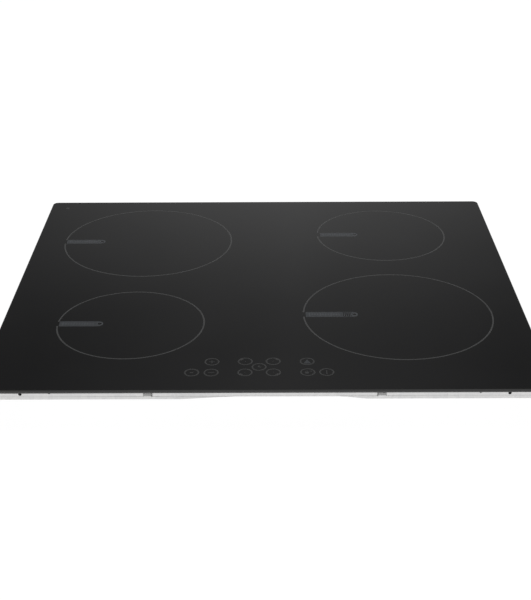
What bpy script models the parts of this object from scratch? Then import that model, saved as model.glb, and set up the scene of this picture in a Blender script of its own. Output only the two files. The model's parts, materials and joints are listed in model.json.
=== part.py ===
"""Built-in electric induction cooktop with four cooking zones, as an assembly of separate pieces.

Metres, +Z up, +Y to the back, +X to the right as the cook stands. The origin is on the underside of the
base tray, below the centre of the glass.
"""

import math

import bmesh
import bpy
from mathutils import Matrix, Vector

# Driving dimensions
GLASS_WIDTH = 0.580
GLASS_DEPTH = 0.510
GLASS_THICKNESS = 0.004
GLASS_CORNER = 0.007
GLASS_TOP = 0.054
GLASS_UNDERSIDE = GLASS_TOP - GLASS_THICKNESS
GAP = 0.0003  # between pieces that touch
SHEET = 0.001  # thickness of the metal sheets

SEAL_INSET = 0.0025  # from the glass edge
SEAL_WIDTH = 0.006
SEAL_THICKNESS = 0.0017

RIM_WIDTH = 0.556  # slips into a 560 x 490 worktop cut-out
RIM_DEPTH = 0.486
RIM_CORNER = 0.004
RIM_TOP = GLASS_UNDERSIDE - GAP
RIM_BOTTOM = 0.0365
RIM_HEM = 0.0354  # the wall is folded back on itself below the flange
RIM_FLANGE = 0.012

PLATE_WIDTH = 0.543  # coil support plate, lying on the rim's flange
PLATE_DEPTH = 0.473
PLATE_BOTTOM = RIM_BOTTOM + SHEET + GAP
PLATE_TOP = PLATE_BOTTOM + SHEET

TRAY_BOX = (-0.248, -0.177, 0.248, 0.219)
TRAY_HEIGHT = RIM_BOTTOM + SHEET
TRAY_CORNER = 0.006
TRAY_FLANGE = 0.010
TRAY_BACK = TRAY_BOX[3]

# Cooking zones: centre x, centre y and ring radius
ZONES = {
    "rear_left": (-0.148, 0.118, 0.105),
    "front_left": (-0.148, -0.111, 0.081),
    "rear_right": (0.148, 0.138, 0.081),
    "front_right": (0.148, -0.090, 0.105),
}
COIL_INSIDE_RING = 0.010  # the winding ends this far inside the printed ring
COIL_BORE = 0.020
COIL_TRAVEL = 0.0012  # how far a coil can be pressed down before its ferrites touch the plate
CARRIER_LIP = 0.004
ZONE_SEGMENTS = 30

MICA_BOTTOM = 0.0491
MICA_TOP = 0.0496
WINDING_BOTTOM = 0.0454
WINDING_TOP = 0.0488
CARRIER_BOTTOM = 0.0431
CARRIER_FLOOR_TOP = 0.0451
CARRIER_TOP = 0.0478
FERRITE_BOTTOM = 0.0404
FERRITE_TOP = 0.0428
SPRING_BOTTOM = PLATE_TOP + GAP
SPRING_TOP = CARRIER_BOTTOM - GAP
LEAD_RADIUS = 0.030  # where a coil's leads go down through the plate, from the coil's centre

BOARD_INNER = 0.004  # the two power boards stand either side of the middle
BOARD_OUTER = 0.224
BOARD_FRONT = -0.121
BOARD_REAR = 0.117
BOARD_BOTTOM = 0.0065
BOARD_THICKNESS = 0.0016
BOARD_TOP = BOARD_BOTTOM + BOARD_THICKNESS
PARTS_BOTTOM = BOARD_TOP + GAP

FAN_CENTRE = (0.0, 0.168)
FAN_RADIUS = 0.048
FAN_OUTLET = 0.049  # from the fan's centre to its outlet, towards the front
FAN_BOTTOM = SHEET + GAP
FAN_TOP = 0.030
FAN_WALL = 0.0015
FAN_INLET = 0.031
IMPELLER_RADIUS = 0.0425
BLADES = 18

KEY_PLACES = (
    (-0.0746, -0.2210),
    (-0.0547, -0.2211),
    (-0.0547, -0.1984),
    (-0.0202, -0.1977),
    (-0.0202, -0.2210),
    (0.0087, -0.1977),
    (0.0087, -0.2210),
    (-0.0059, -0.2097),
    (0.0438, -0.1982),
    (0.0438, -0.2208),
    (0.0632, -0.2208),
)
CONTROL_BOX = (-0.090, -0.2315, 0.079, -0.187)
CONTROL_BOTTOM = PLATE_TOP + GAP

TERMINAL_CENTRE_X = 0.165
TERMINAL_WIDTH = 0.076
TERMINAL_LOW = 0.006
TERMINAL_HIGH = 0.030
COVER_WIDTH = 0.086
COVER_LOW = 0.0035
COVER_THICKNESS = 0.002
COVER_AXIS = (0.0, TRAY_BACK + 0.0022, 0.0335)  # y and z of the hinge line
KNUCKLE_RADIUS = 0.0016
PIN_RADIUS = 0.0010
PIN_HOLE_RADIUS = 0.0014

INLET_CENTRE = (0.097, TRAY_BACK, 0.018)
INLET_HOLE = 0.009
INLET_BORE = 0.0055

FIXING_HOLES = (  # distance from the middle, height and radius, in both long walls
    (0.2468, 0.0418, 0.0017),
    (0.2174, 0.0430, 0.0011),
)
RELIEF_ENDS = (-0.089, 0.105)  # a shallow arch in the rim's front wall clears the keys' ribbon
RELIEF_CREST = (-0.030, 0.075)
RELIEF_TOP = 0.0388
CLIP_OFFSET = 0.118  # each way from the middle, in the front and rear walls of the rim
CLIP_WIDTH = 0.008
CLIP_SHEET = 0.0006
CLIP_AXIS_Z = 0.0436
CLIP_FOOT_TOP = 0.0490
CLIP_LEAF = (  # distance out from the wall and height, below the axis
    (0.0016, 0.0420),
    (0.0026, 0.0407),
    (0.0018, 0.0395),
    (0.0006, 0.0390),
)
WINDOW_MARGIN = 0.0008  # beside the leaf
WINDOW_HEIGHTS = (0.0383, 0.0430)
RIVET_Z = 0.0464
RIVET_RADIUS = 0.0012

COLOURS = {
    "ceramic_glass": ((0.010, 0.010, 0.011), 0.06, 0.0),
    "seal_foam": ((0.03, 0.03, 0.03), 0.9, 0.0),
    "galvanised_steel": ((0.68, 0.70, 0.71), 0.35, 1.0),
    "aluminium": ((0.80, 0.80, 0.81), 0.35, 1.0),
    "spring_steel": ((0.42, 0.42, 0.43), 0.3, 1.0),
    "mica": ((0.75, 0.70, 0.58), 0.6, 0.0),
    "litz_wire": ((0.60, 0.26, 0.12), 0.4, 0.6),
    "black_plastic": ((0.035, 0.035, 0.037), 0.55, 0.0),
    "grey_plastic": ((0.45, 0.46, 0.47), 0.5, 0.0),
    "ferrite": ((0.07, 0.07, 0.075), 0.7, 0.0),
    "sensor_silicone": ((0.75, 0.75, 0.72), 0.6, 0.0),
    "circuit_board": ((0.02, 0.16, 0.06), 0.4, 0.0),
    "capacitor_case": ((0.75, 0.55, 0.08), 0.35, 0.0),
    "lead_insulation": ((0.55, 0.05, 0.03), 0.5, 0.0),
    "bush_rubber": ((0.02, 0.02, 0.02), 0.8, 0.0),
    "label": ((0.78, 0.79, 0.80), 0.4, 0.0),
}


# Mesh helpers


def clear_scene():
    for obj in list(bpy.data.objects):
        bpy.data.objects.remove(obj, do_unlink=True)


def material(slot):
    """The material of that name, made on first use."""
    if slot in bpy.data.materials:
        return bpy.data.materials[slot]
    colour, roughness, metallic = COLOURS[slot]
    made = bpy.data.materials.new(slot)
    made.use_nodes = True
    shader = made.node_tree.nodes["Principled BSDF"]
    shader.inputs["Base Color"].default_value = (*colour, 1.0)
    shader.inputs["Roughness"].default_value = roughness
    shader.inputs["Metallic"].default_value = metallic
    return made


def add_object(name, bm, slot, origin=(0, 0, 0)):
    """Makes the sub-part called name from bm, with its origin at origin."""
    bmesh.ops.recalc_face_normals(bm, faces=bm.faces)
    mesh = bpy.data.meshes.new(name)
    bm.to_mesh(mesh)
    bm.free()
    mesh.transform(Matrix.Translation(-Vector(origin)))
    mesh.shade_smooth()
    mesh.set_sharp_from_angle(angle=math.radians(35))
    mesh.materials.append(material(slot))
    obj = bpy.data.objects.new(name, mesh)
    obj.location = origin
    bpy.context.scene.collection.objects.link(obj)
    return obj


def combine(target, bm, operation):
    """Cuts the shapes in bm out of target, or joins them to it, with a Boolean modifier."""
    number = len(target.modifiers)
    bmesh.ops.recalc_face_normals(bm, faces=bm.faces)
    mesh = bpy.data.meshes.new(f"{target.name}_tool_{number}")
    bm.to_mesh(mesh)
    bm.free()
    tool = bpy.data.objects.new(mesh.name, mesh)
    tool.hide_render = True
    tool.display_type = "WIRE"
    bpy.context.scene.collection.objects.link(tool)
    modifier = target.modifiers.new(operation.lower(), "BOOLEAN")
    modifier.operation = operation
    modifier.object = tool
    modifier.solver = "EXACT"


def cut(target, bm):
    combine(target, bm, "DIFFERENCE")


def join(target, bm):
    combine(target, bm, "UNION")


def loft(bm, sections, ring=False):
    """Skins sections, each a list of points of the same length, into one closed body.

    The first and last sections are capped, or joined to each other when ring is true.
    """
    rows = [[bm.verts.new(point) for point in section] for section in sections]
    pairs = list(zip(rows, rows[1:]))
    if ring:
        pairs.append((rows[-1], rows[0]))
    else:
        bm.faces.new(reversed(rows[0]))
        bm.faces.new(rows[-1])
    count = len(rows[0])
    for low, high in pairs:
        for i in range(count):
            j = (i + 1) % count
            bm.faces.new((low[i], low[j], high[j], high[i]))


def at_height(outline, z):
    return [(x, y, z) for x, y in outline]


def prism(bm, outline, low, high):
    """A plan outline, extruded from the height low to the height high."""
    loft(bm, [at_height(outline, low), at_height(outline, high)])


def box(bm, low, high):
    outline = ((low[0], low[1]), (high[0], low[1]), (high[0], high[1]), (low[0], high[1]))
    prism(bm, outline, low[2], high[2])


def grown(rectangle, offset):
    x0, y0, x1, y1 = rectangle
    return (x0 - offset, y0 - offset, x1 + offset, y1 + offset)


def rounded(rectangle, radius, steps=3):
    """Outline of a rectangle (x0, y0, x1, y1) with round corners."""
    x0, y0, x1, y1 = rectangle
    corners = ((x1, y0, -90), (x1, y1, 0), (x0, y1, 90), (x0, y0, 180))
    outline = []
    for x, y, start in corners:
        centre_x = x - math.copysign(radius, x - (x0 + x1) / 2)
        centre_y = y - math.copysign(radius, y - (y0 + y1) / 2)
        for step in range(steps + 1):
            angle = math.radians(start + 90 * step / steps)
            outline.append((centre_x + radius * math.cos(angle), centre_y + radius * math.sin(angle)))
    return outline


def centred(width, depth):
    return (-width / 2, -depth / 2, width / 2, depth / 2)


def circle(x, y, radius, segments, start=0.0):
    """Circle outline, its first point at the angle start in radians."""
    angles = [start + 2 * math.pi * i / segments for i in range(segments)]
    return [(x + radius * math.cos(a), y + radius * math.sin(a)) for a in angles]


def swept_rectangle(bm, rectangle, radius, section, ring=False):
    """Sweeps section, a list of (offset outwards, height), round a rounded rectangle."""
    loops = []
    for offset, z in section:
        loops.append(at_height(rounded(grown(rectangle, offset), radius + offset), z))
    loft(bm, loops, ring)


def turned(bm, x, y, profile, segments):
    """Turns a closed profile of (radius, height) about the vertical through x, y. Its radii are above 0."""
    loft(bm, [at_height(circle(x, y, r, segments), z) for r, z in profile], ring=True)


def turned_solid(bm, x, y, profile, segments):
    """The same for an open profile, from a capped bottom to a capped top."""
    loft(bm, [at_height(circle(x, y, r, segments), z) for r, z in profile])


def tube(bm, path, radius, sides):
    """Round bar along path, with mitred bends and flat ends."""
    points = [Vector(p) for p in path]
    sections = []
    for i, point in enumerate(points):
        ahead = points[min(i + 1, len(points) - 1)] - points[max(i - 1, 0)]
        turn = Vector((0, 0, 1)).rotation_difference(ahead.normalized())
        ring = [Vector((radius * math.cos(a), radius * math.sin(a), 0)) for a in side_angles(sides)]
        sections.append([point + turn @ offset for offset in ring])
    loft(bm, sections)


def side_angles(sides):
    return [2 * math.pi * i / sides for i in range(sides)]


# Glass, seal, rim, plate and tray


def make_glass():
    rectangle = centred(GLASS_WIDTH, GLASS_DEPTH)
    arris = 0.0006
    section = (
        (-arris, GLASS_UNDERSIDE),
        (0, GLASS_UNDERSIDE + arris),
        (0, GLASS_TOP - arris),
        (-arris, GLASS_TOP),
    )
    bm = bmesh.new()
    loops = []
    for offset, z in section:
        loops.append(at_height(rounded(grown(rectangle, offset), GLASS_CORNER + offset, 6), z))
    loft(bm, loops)
    add_object("glass_plate", bm, "ceramic_glass")


def make_seal():
    outer = grown(centred(GLASS_WIDTH, GLASS_DEPTH), -SEAL_INSET)
    top = GLASS_UNDERSIDE - GAP
    bottom = top - SEAL_THICKNESS
    section = ((0, bottom), (0, top), (-SEAL_WIDTH, top), (-SEAL_WIDTH, bottom))
    bm = bmesh.new()
    loops = []
    for offset, z in section:
        loops.append(at_height(rounded(grown(outer, offset), 0.010 + offset), z))
    loft(bm, loops, ring=True)
    add_object("worktop_seal", bm, "seal_foam")


def make_rim():
    section = (
        (0, RIM_HEM),
        (0, RIM_TOP),
        (-SHEET, RIM_TOP),
        (-SHEET, RIM_BOTTOM + SHEET),
        (-RIM_FLANGE, RIM_BOTTOM + SHEET),
        (-RIM_FLANGE, RIM_BOTTOM),
        (-2 * SHEET, RIM_BOTTOM),
        (-2 * SHEET, RIM_HEM),
    )
    bm = bmesh.new()
    rectangle = centred(RIM_WIDTH, RIM_DEPTH)
    loops = []
    for offset, z in section:
        corner = max(RIM_CORNER + offset, 0.002)
        loops.append(at_height(rounded(grown(rectangle, offset), corner), z))
    loft(bm, loops, ring=True)
    rim = add_object("support_frame", bm, "galvanised_steel")

    through = 0.003
    window_half_width = CLIP_WIDTH / 2 + WINDOW_MARGIN
    windows = bmesh.new()
    for side in (-1, 1):
        wall = side * RIM_DEPTH / 2
        for x in (-CLIP_OFFSET, CLIP_OFFSET):
            low = (x - window_half_width, wall - through, WINDOW_HEIGHTS[0])
            high = (x + window_half_width, wall + through, WINDOW_HEIGHTS[1])
            box(windows, low, high)
            cross_bar(windows, x, wall, RIVET_Z, RIVET_RADIUS + GAP, through)
        for sign in (-1, 1):
            for x, z, radius in FIXING_HOLES:
                cross_bar(windows, sign * x, wall, z, radius, through)
    cut(rim, windows)
    cut_rim_relief(rim)


def cut_rim_relief(rim):
    """Raises the lower edge of the front wall along the relief and clears the flange behind it."""
    front = -RIM_DEPTH / 2
    below = RIM_HEM - SHEET
    outline = (
        (RELIEF_ENDS[0], below),
        (RELIEF_ENDS[1], below),
        (RELIEF_ENDS[1], RIM_HEM),
        (RELIEF_CREST[1], RELIEF_TOP),
        (RELIEF_CREST[0], RELIEF_TOP),
        (RELIEF_ENDS[0], RIM_HEM),
    )
    arch = bmesh.new()
    loft(arch, [[(x, y, z) for x, z in outline] for y in (front - SHEET, front + SHEET)])
    cut(rim, arch)
    flange = bmesh.new()
    low = (RELIEF_ENDS[0], front + SHEET, below)
    high = (RELIEF_ENDS[1], front + RIM_FLANGE + SHEET, RIM_BOTTOM + SHEET)
    box(flange, low, high)
    cut(rim, flange)


def cross_bar(bm, x, y, z, radius, half_length):
    """Eight-sided bar along Y through x, y, z."""
    ring = circle(0, 0, radius, 8, math.pi / 8)
    low = [(x + u, y - half_length, z + v) for u, v in ring]
    high = [(x + u, y + half_length, z + v) for u, v in ring]
    loft(bm, [low, high])


def zone_lead_angle(name):
    """Leads leave a rear coil towards the front and a front coil towards the rear, between two ferrites."""
    if name.startswith("rear"):
        return math.radians(-67.5) if name.endswith("left") else math.radians(-112.5)
    return math.radians(67.5) if name.endswith("left") else math.radians(112.5)


def zone_lead_place(name):
    x, y, _ = ZONES[name]
    angle = zone_lead_angle(name)
    return x + LEAD_RADIUS * math.cos(angle), y + LEAD_RADIUS * math.sin(angle)


def make_support_plate():
    bm = bmesh.new()
    outline = rounded(centred(PLATE_WIDTH, PLATE_DEPTH), 0.004)
    prism(bm, outline, PLATE_BOTTOM, PLATE_TOP)
    plate = add_object("coil_support_plate", bm, "aluminium")
    holes = bmesh.new()
    for name in ZONES:
        x, y = zone_lead_place(name)
        prism(holes, circle(x, y, 0.005, 12), PLATE_BOTTOM - SHEET, PLATE_TOP + SHEET)
    slot = grown((-0.013, -0.174, 0.013, -0.170), 0.001)
    prism(holes, rounded(slot, 0.002, 2), PLATE_BOTTOM - SHEET, PLATE_TOP + SHEET)
    cut(plate, holes)


def slot_row(bm, low, size, pitch, count):
    """A row of equal box-shaped slots along X, the first one's low corner at low."""
    for i in range(count):
        x, y, z = low[0] + i * pitch, low[1], low[2]
        box(bm, (x, y, z), (x + size[0], y + size[1], z + size[2]))


def make_tray():
    section = (
        (0, 0),
        (0, TRAY_HEIGHT - SHEET),
        (TRAY_FLANGE, TRAY_HEIGHT - SHEET),
        (TRAY_FLANGE, TRAY_HEIGHT),
        (-SHEET, TRAY_HEIGHT),
        (-SHEET, SHEET),
    )
    bm = bmesh.new()
    swept_rectangle(bm, TRAY_BOX, TRAY_CORNER, section)
    tray = add_object("base_tray", bm, "galvanised_steel")

    lugs = bmesh.new()
    _, axis_y, axis_z = COVER_AXIS
    for side in (-1, 1):
        x = TERMINAL_CENTRE_X + side * (COVER_WIDTH / 2 + 0.0015)
        low = (x - 0.001, TRAY_BACK - 0.0005, axis_z - 0.0025)
        high = (x + 0.001, axis_y + 0.0025, axis_z + 0.0025)
        box(lugs, low, high)
    join(tray, lugs)

    openings = bmesh.new()
    slot_width = 0.0035
    slot_pitch = 0.008
    intake_slots = 8
    intake_length = 0.058
    first = FAN_CENTRE[0] - ((intake_slots - 1) * slot_pitch + slot_width) / 2
    low = (first, FAN_CENTRE[1] - intake_length / 2, -SHEET)
    slot_row(openings, low, (slot_width, intake_length, 3 * SHEET), slot_pitch, intake_slots)
    exhaust_slots = 8
    exhaust_height = 0.018
    for centre_x in (-0.075, 0.075):
        first = centre_x - ((exhaust_slots - 1) * slot_pitch + slot_width) / 2
        low = (first, TRAY_BOX[1] - SHEET, 0.010)
        slot_row(openings, low, (slot_width, 3 * SHEET, exhaust_height), slot_pitch, exhaust_slots)
    low = (TERMINAL_CENTRE_X - TERMINAL_WIDTH / 2, TRAY_BACK - 0.003, TERMINAL_LOW)
    high = (TERMINAL_CENTRE_X + TERMINAL_WIDTH / 2, TRAY_BACK + 0.002, TERMINAL_HIGH)
    box(openings, low, high)
    x, y, z = INLET_CENTRE
    hole = circle(0, 0, INLET_HOLE, 16)
    loft(openings, [[(x + u, y + v, z + w) for u, w in hole] for v in (-0.003, 0.003)])
    pin_ring = circle(0, 0, PIN_HOLE_RADIUS, 10)
    ends = (TERMINAL_CENTRE_X - COVER_WIDTH / 2 - 0.004, TERMINAL_CENTRE_X + COVER_WIDTH / 2 + 0.004)
    loft(openings, [[(x, axis_y + u, axis_z + w) for u, w in pin_ring] for x in ends])
    cut(tray, openings)


def make_board_carrier():
    rectangle = (-0.236, -0.160, 0.236, BOARD_REAR + 0.0005)
    section = ((0, SHEET + GAP), (0, 0.0060), (-0.0015, 0.0060), (-0.0015, 0.0028))
    bm = bmesh.new()
    swept_rectangle(bm, rectangle, 0.004, section)
    carrier = add_object("board_carrier", bm, "black_plastic")
    posts = bmesh.new()
    for side in (-1, 1):
        for x in (BOARD_INNER + 0.008, BOARD_OUTER - 0.008):
            for y in (BOARD_FRONT + 0.008, BOARD_REAR - 0.012):
                prism(posts, circle(side * x, y, 0.004, 8), 0.0020, BOARD_BOTTOM - GAP)
    join(carrier, posts)


# The parts of one cooking zone


def make_mica(name, x, y, radius):
    bm = bmesh.new()
    outer = radius - COIL_INSIDE_RING + CARRIER_LIP
    profile = ((0.010, MICA_BOTTOM), (outer, MICA_BOTTOM), (outer, MICA_TOP), (0.010, MICA_TOP))
    turned(bm, x, y, profile, ZONE_SEGMENTS)
    add_object(f"mica_sheet_{name}", bm, "mica", (x, y, MICA_BOTTOM))


def make_winding(name, x, y, radius):
    bm = bmesh.new()
    outer = radius - COIL_INSIDE_RING
    profile = (
        (COIL_BORE, WINDING_BOTTOM),
        (outer, WINDING_BOTTOM),
        (outer, WINDING_TOP),
        (COIL_BORE, WINDING_TOP),
    )
    turned(bm, x, y, profile, ZONE_SEGMENTS)
    add_object(f"coil_winding_{name}", bm, "litz_wire", (x, y, WINDING_BOTTOM))


def make_carrier(name, x, y, radius):
    lip_outer = radius - COIL_INSIDE_RING + CARRIER_LIP
    lip_inner = lip_outer - 0.002
    hole = 0.006
    profile = (
        (hole, CARRIER_BOTTOM),
        (lip_outer, CARRIER_BOTTOM),
        (lip_outer, CARRIER_TOP),
        (lip_inner, CARRIER_TOP),
        (lip_inner, CARRIER_FLOOR_TOP),
        (hole, CARRIER_FLOOR_TOP),
    )
    bm = bmesh.new()
    turned(bm, x, y, profile, ZONE_SEGMENTS)
    add_object(f"coil_carrier_{name}", bm, "black_plastic", (x, y, CARRIER_BOTTOM))


def make_ferrites(name, x, y, radius):
    """Eight bars radiating from a hub ring."""
    arms = 8
    half_width = 0.004
    hub_inner = 0.0135
    hub_outer = 0.017
    reach = radius - COIL_INSIDE_RING - 0.006
    outer = []
    inner = []
    for i in range(arms):
        angle = 2 * math.pi * i / arms
        along = Vector((math.cos(angle), math.sin(angle)))
        across = Vector((-along.y, along.x))
        for out, side in ((hub_outer, -1), (reach, -1), (reach, 1), (hub_outer, 1)):
            point = along * out + across * side * half_width
            outer.append((x + point.x, y + point.y))
        for quarter in (-0.75, -0.25, 0.25, 0.75):
            spoke = angle + quarter * math.pi / arms
            inner.append((x + hub_inner * math.cos(spoke), y + hub_inner * math.sin(spoke)))
    bm = bmesh.new()
    sections = [
        at_height(outer, FERRITE_BOTTOM),
        at_height(outer, FERRITE_TOP),
        at_height(inner, FERRITE_TOP),
        at_height(inner, FERRITE_BOTTOM),
    ]
    loft(bm, sections, ring=True)
    add_object(f"ferrite_star_{name}", bm, "ferrite", (x, y, FERRITE_BOTTOM))


def make_sensor(name, x, y):
    """Temperature sensor in a stepped silicone cup, standing in the carrier's hole."""
    flange_bottom = CARRIER_FLOOR_TOP + GAP
    profile = (
        (0.005, CARRIER_BOTTOM),
        (0.005, flange_bottom),
        (0.009, flange_bottom),
        (0.009, flange_bottom + 0.0012),
        (0.005, flange_bottom + 0.0012),
        (0.005, MICA_TOP - 0.0002),
        (0.004, MICA_TOP),
    )
    bm = bmesh.new()
    turned_solid(bm, x, y, profile, 12)
    add_object(f"temp_sensor_{name}", bm, "sensor_silicone", (x, y, CARRIER_BOTTOM))


def make_spring(name, x, y):
    """Compression spring between the support plate and the carrier."""
    wire = 0.0005
    mean_radius = 0.0095
    turns = 2.5
    per_turn = 10
    count = int(turns * per_turn)
    rise = SPRING_TOP - SPRING_BOTTOM - 2.4 * wire
    path = []
    for i in range(count + 1):
        angle = 2 * math.pi * i / per_turn
        z = SPRING_BOTTOM + 1.2 * wire + rise * i / count
        path.append((x + mean_radius * math.cos(angle), y + mean_radius * math.sin(angle), z))
    bm = bmesh.new()
    tube(bm, path, wire, 5)
    add_object(f"coil_spring_{name}", bm, "spring_steel", (x, y, SPRING_BOTTOM))


def make_lead(name):
    """The coil's pair of leads in one sleeve, from a power board up through the support plate."""
    x, y = zone_lead_place(name)
    low = PARTS_BOTTOM
    high = CARRIER_BOTTOM - COIL_TRAVEL - 0.0005
    bow = 0.004
    count = 7
    path = []
    for i in range(count):
        share = i / (count - 1)
        bend = min(max((i - 1) / (count - 3), 0.0), 1.0)
        sideways = bow * math.sin(math.pi * bend) ** 2
        path.append((x, y + sideways, low + (high - low) * share))
    bm = bmesh.new()
    tube(bm, path, 0.0020, 6)
    add_object(f"coil_lead_{name}", bm, "lead_insulation", (x, y, low))


def make_zones():
    for name, (x, y, radius) in ZONES.items():
        make_mica(name, x, y, radius)
        make_winding(name, x, y, radius)
        make_carrier(name, x, y, radius)
        make_ferrites(name, x, y, radius)
        make_sensor(name, x, y)
        make_spring(name, x, y)
        make_lead(name)


# Electronics in the tray


def span(side, near, far):
    """The lower and upper x of a piece that lies from near to far on one side of the middle."""
    return (near, far) if side > 0 else (-far, -near)


def make_power_board(name, side):
    x0, x1 = span(side, BOARD_INNER, BOARD_OUTER)
    bm = bmesh.new()
    box(bm, (x0, BOARD_FRONT, BOARD_BOTTOM), (x1, BOARD_REAR, BOARD_TOP))
    add_object(f"power_board_{name}", bm, "circuit_board")


def make_heat_sink(name, side):
    """Finned aluminium extrusion along Y."""
    x0, x1 = span(side, 0.008, 0.050)
    fins = 7
    fin = 0.0016
    base_top = PARTS_BOTTOM + 0.004
    top = 0.0335
    pitch = (x1 - x0 - fin) / (fins - 1)
    outline = [(x0, PARTS_BOTTOM), (x1, PARTS_BOTTOM)]
    for i in reversed(range(fins)):
        fin_low = x0 + i * pitch
        fin_high = fin_low + fin
        if i < fins - 1:
            outline.append((fin_high, base_top))
        outline.append((fin_high, top))
        outline.append((fin_low, top))
        if i > 0:
            outline.append((fin_low, base_top))
    bm = bmesh.new()
    loft(bm, [[(x, y, z) for x, z in outline] for y in (-0.100, 0.100)])
    add_object(f"heat_sink_{name}", bm, "aluminium")


def make_capacitors(name, side):
    """Three box capacitors on one potted base."""
    x0, x1 = span(side, 0.078, 0.106)
    base = 0.0015
    depth = 0.032
    pitch = 0.036
    first = -0.055
    bm = bmesh.new()
    last = first + 2 * pitch + depth
    box(bm, (x0, first, PARTS_BOTTOM), (x1, last, PARTS_BOTTOM + base))
    block = add_object(f"capacitors_{name}", bm, "capacitor_case")
    cases = bmesh.new()
    for i in range(3):
        y = first + i * pitch
        low = (x0 + 0.001, y + 0.0005, PARTS_BOTTOM + base / 2)
        box(cases, low, (x1 - 0.001, y + depth - 0.0005, 0.0300))
    join(block, cases)


def make_choke():
    """Ring core with its winding, lying on the right power board."""
    x, y = 0.190, 0.020
    middle = PARTS_BOTTOM + 0.008
    profile = []
    for i in range(8):
        angle = 2 * math.pi * (i + 0.5) / 8
        profile.append((0.014 + 0.0065 * math.cos(angle), middle + 0.0080 * math.sin(angle)))
    bm = bmesh.new()
    turned(bm, x, y, profile, 16)
    add_object("filter_choke", bm, "litz_wire", (x, y, middle))


def fan_outline(radius, outlet):
    """Half-round housing that widens into a straight outlet towards the front."""
    x, y = FAN_CENTRE
    steps = 14
    outline = []
    for i in range(steps + 1):
        angle = math.pi * i / steps
        outline.append((x + radius * math.cos(angle), y + radius * math.sin(angle)))
    return outline + [(x - radius, y - outlet), (x + radius, y - outlet)]


def make_fan():
    bm = bmesh.new()
    prism(bm, fan_outline(FAN_RADIUS, FAN_OUTLET), FAN_BOTTOM, FAN_TOP)
    housing = add_object("fan_housing", bm, "black_plastic", (*FAN_CENTRE, FAN_BOTTOM))
    hollow = bmesh.new()
    inner = fan_outline(FAN_RADIUS - FAN_WALL, FAN_OUTLET + 0.005)
    prism(hollow, inner, FAN_BOTTOM + FAN_WALL, FAN_TOP - FAN_WALL)
    cut(housing, hollow)
    inlet = bmesh.new()
    prism(inlet, circle(*FAN_CENTRE, FAN_INLET, 20), FAN_BOTTOM - FAN_WALL, FAN_BOTTOM + 2 * FAN_WALL)
    cut(housing, inlet)

    motor_top = FAN_TOP - FAN_WALL - GAP
    bm = bmesh.new()
    turned_solid(bm, *FAN_CENTRE, ((0.012, 0.0140), (0.012, motor_top)), 16)
    add_object("fan_motor", bm, "grey_plastic", (*FAN_CENTRE, 0.0140))

    hub_bottom = 0.0120
    plate_bottom = 0.0252
    plate_top = 0.0266
    blade_bottom = 0.0055
    profile = (
        (0.0010, hub_bottom),
        (0.0155, hub_bottom),
        (0.0155, plate_bottom),
        (IMPELLER_RADIUS, plate_bottom),
        (IMPELLER_RADIUS, plate_top),
        (0.0135, plate_top),
        (0.0135, hub_bottom + 0.0014),
        (0.0010, hub_bottom + 0.0014),
    )
    bm = bmesh.new()
    turned(bm, *FAN_CENTRE, profile, 2 * BLADES)
    impeller = add_object("fan_impeller", bm, "black_plastic", (*FAN_CENTRE, hub_bottom))
    blades = bmesh.new()
    for i in range(BLADES):
        place = Matrix.Translation((*FAN_CENTRE, 0)) @ Matrix.Rotation(2 * math.pi * i / BLADES, 4, "Z")
        blade = ((0.0300, -0.0030), (0.0306, -0.0038), (0.0412, 0.0022), (0.0406, 0.0030))
        corners = [place @ Vector((x, y, 0)) for x, y in blade]
        prism(blades, [(c.x, c.y) for c in corners], blade_bottom, plate_bottom + 0.0007)
    join(impeller, blades)


# Controls


def make_controls():
    x0, y0, x1, y1 = CONTROL_BOX
    floor_top = CONTROL_BOTTOM + 0.0012
    wall_top = CONTROL_BOTTOM + 0.0030
    section = ((0, CONTROL_BOTTOM), (0, wall_top), (-0.0015, wall_top), (-0.0015, floor_top))
    bm = bmesh.new()
    swept_rectangle(bm, CONTROL_BOX, 0.003, section)
    add_object("control_housing", bm, "black_plastic")

    board_bottom = wall_top + GAP
    board_top = board_bottom + BOARD_THICKNESS
    board_inset = 0.001
    bm = bmesh.new()
    prism(bm, rounded(grown(CONTROL_BOX, -board_inset), 0.002, 2), board_bottom, board_top)
    add_object("control_board", bm, "circuit_board")

    mat_top = board_top + GAP + 0.0008
    bm = bmesh.new()
    prism(bm, rounded(grown(CONTROL_BOX, -0.002), 0.002, 2), board_top + GAP, mat_top)
    pads = add_object("key_pads", bm, "bush_rubber")
    for start in (0, 1):
        studs = bmesh.new()
        for x, y in KEY_PLACES[start::2]:
            prism(studs, circle(x, y, 0.0065, 12), mat_top - 0.0004, GLASS_UNDERSIDE - GAP)
        join(pads, studs)

    half_width = 0.010
    thickness = 0.0008
    start_z = board_bottom + 0.0004
    end_z = BOARD_TOP + GAP + 0.0004
    path = (
        (y1 - board_inset + GAP, start_z),
        (-0.1760, start_z),
        (-0.1730, start_z - 0.0020),
        (-0.1720, start_z - 0.0050),
        (-0.1720, 0.0160),
        (-0.1690, 0.0125),
        (-0.1620, 0.0115),
        (BOARD_FRONT - 0.008, 0.0100),
        (BOARD_FRONT + 0.004, end_z),
        (BOARD_FRONT + 0.012, end_z),
    )
    sections = []
    for i, (y, z) in enumerate(path):
        after = path[min(i + 1, len(path) - 1)]
        before = path[max(i - 1, 0)]
        along = Vector((after[0] - before[0], after[1] - before[1])).normalized()
        up = Vector((-along.y, along.x)) * thickness / 2
        sections.append(
            [
                (-half_width + 0.0155 * cable_share(y), y - up.x, z - up.y),
                (half_width + 0.0155 * cable_share(y), y - up.x, z - up.y),
                (half_width + 0.0155 * cable_share(y), y + up.x, z + up.y),
                (-half_width + 0.0155 * cable_share(y), y + up.x, z + up.y),
            ]
        )
    bm = bmesh.new()
    loft(bm, sections)
    add_object("ribbon_cable", bm, "grey_plastic")


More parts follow.
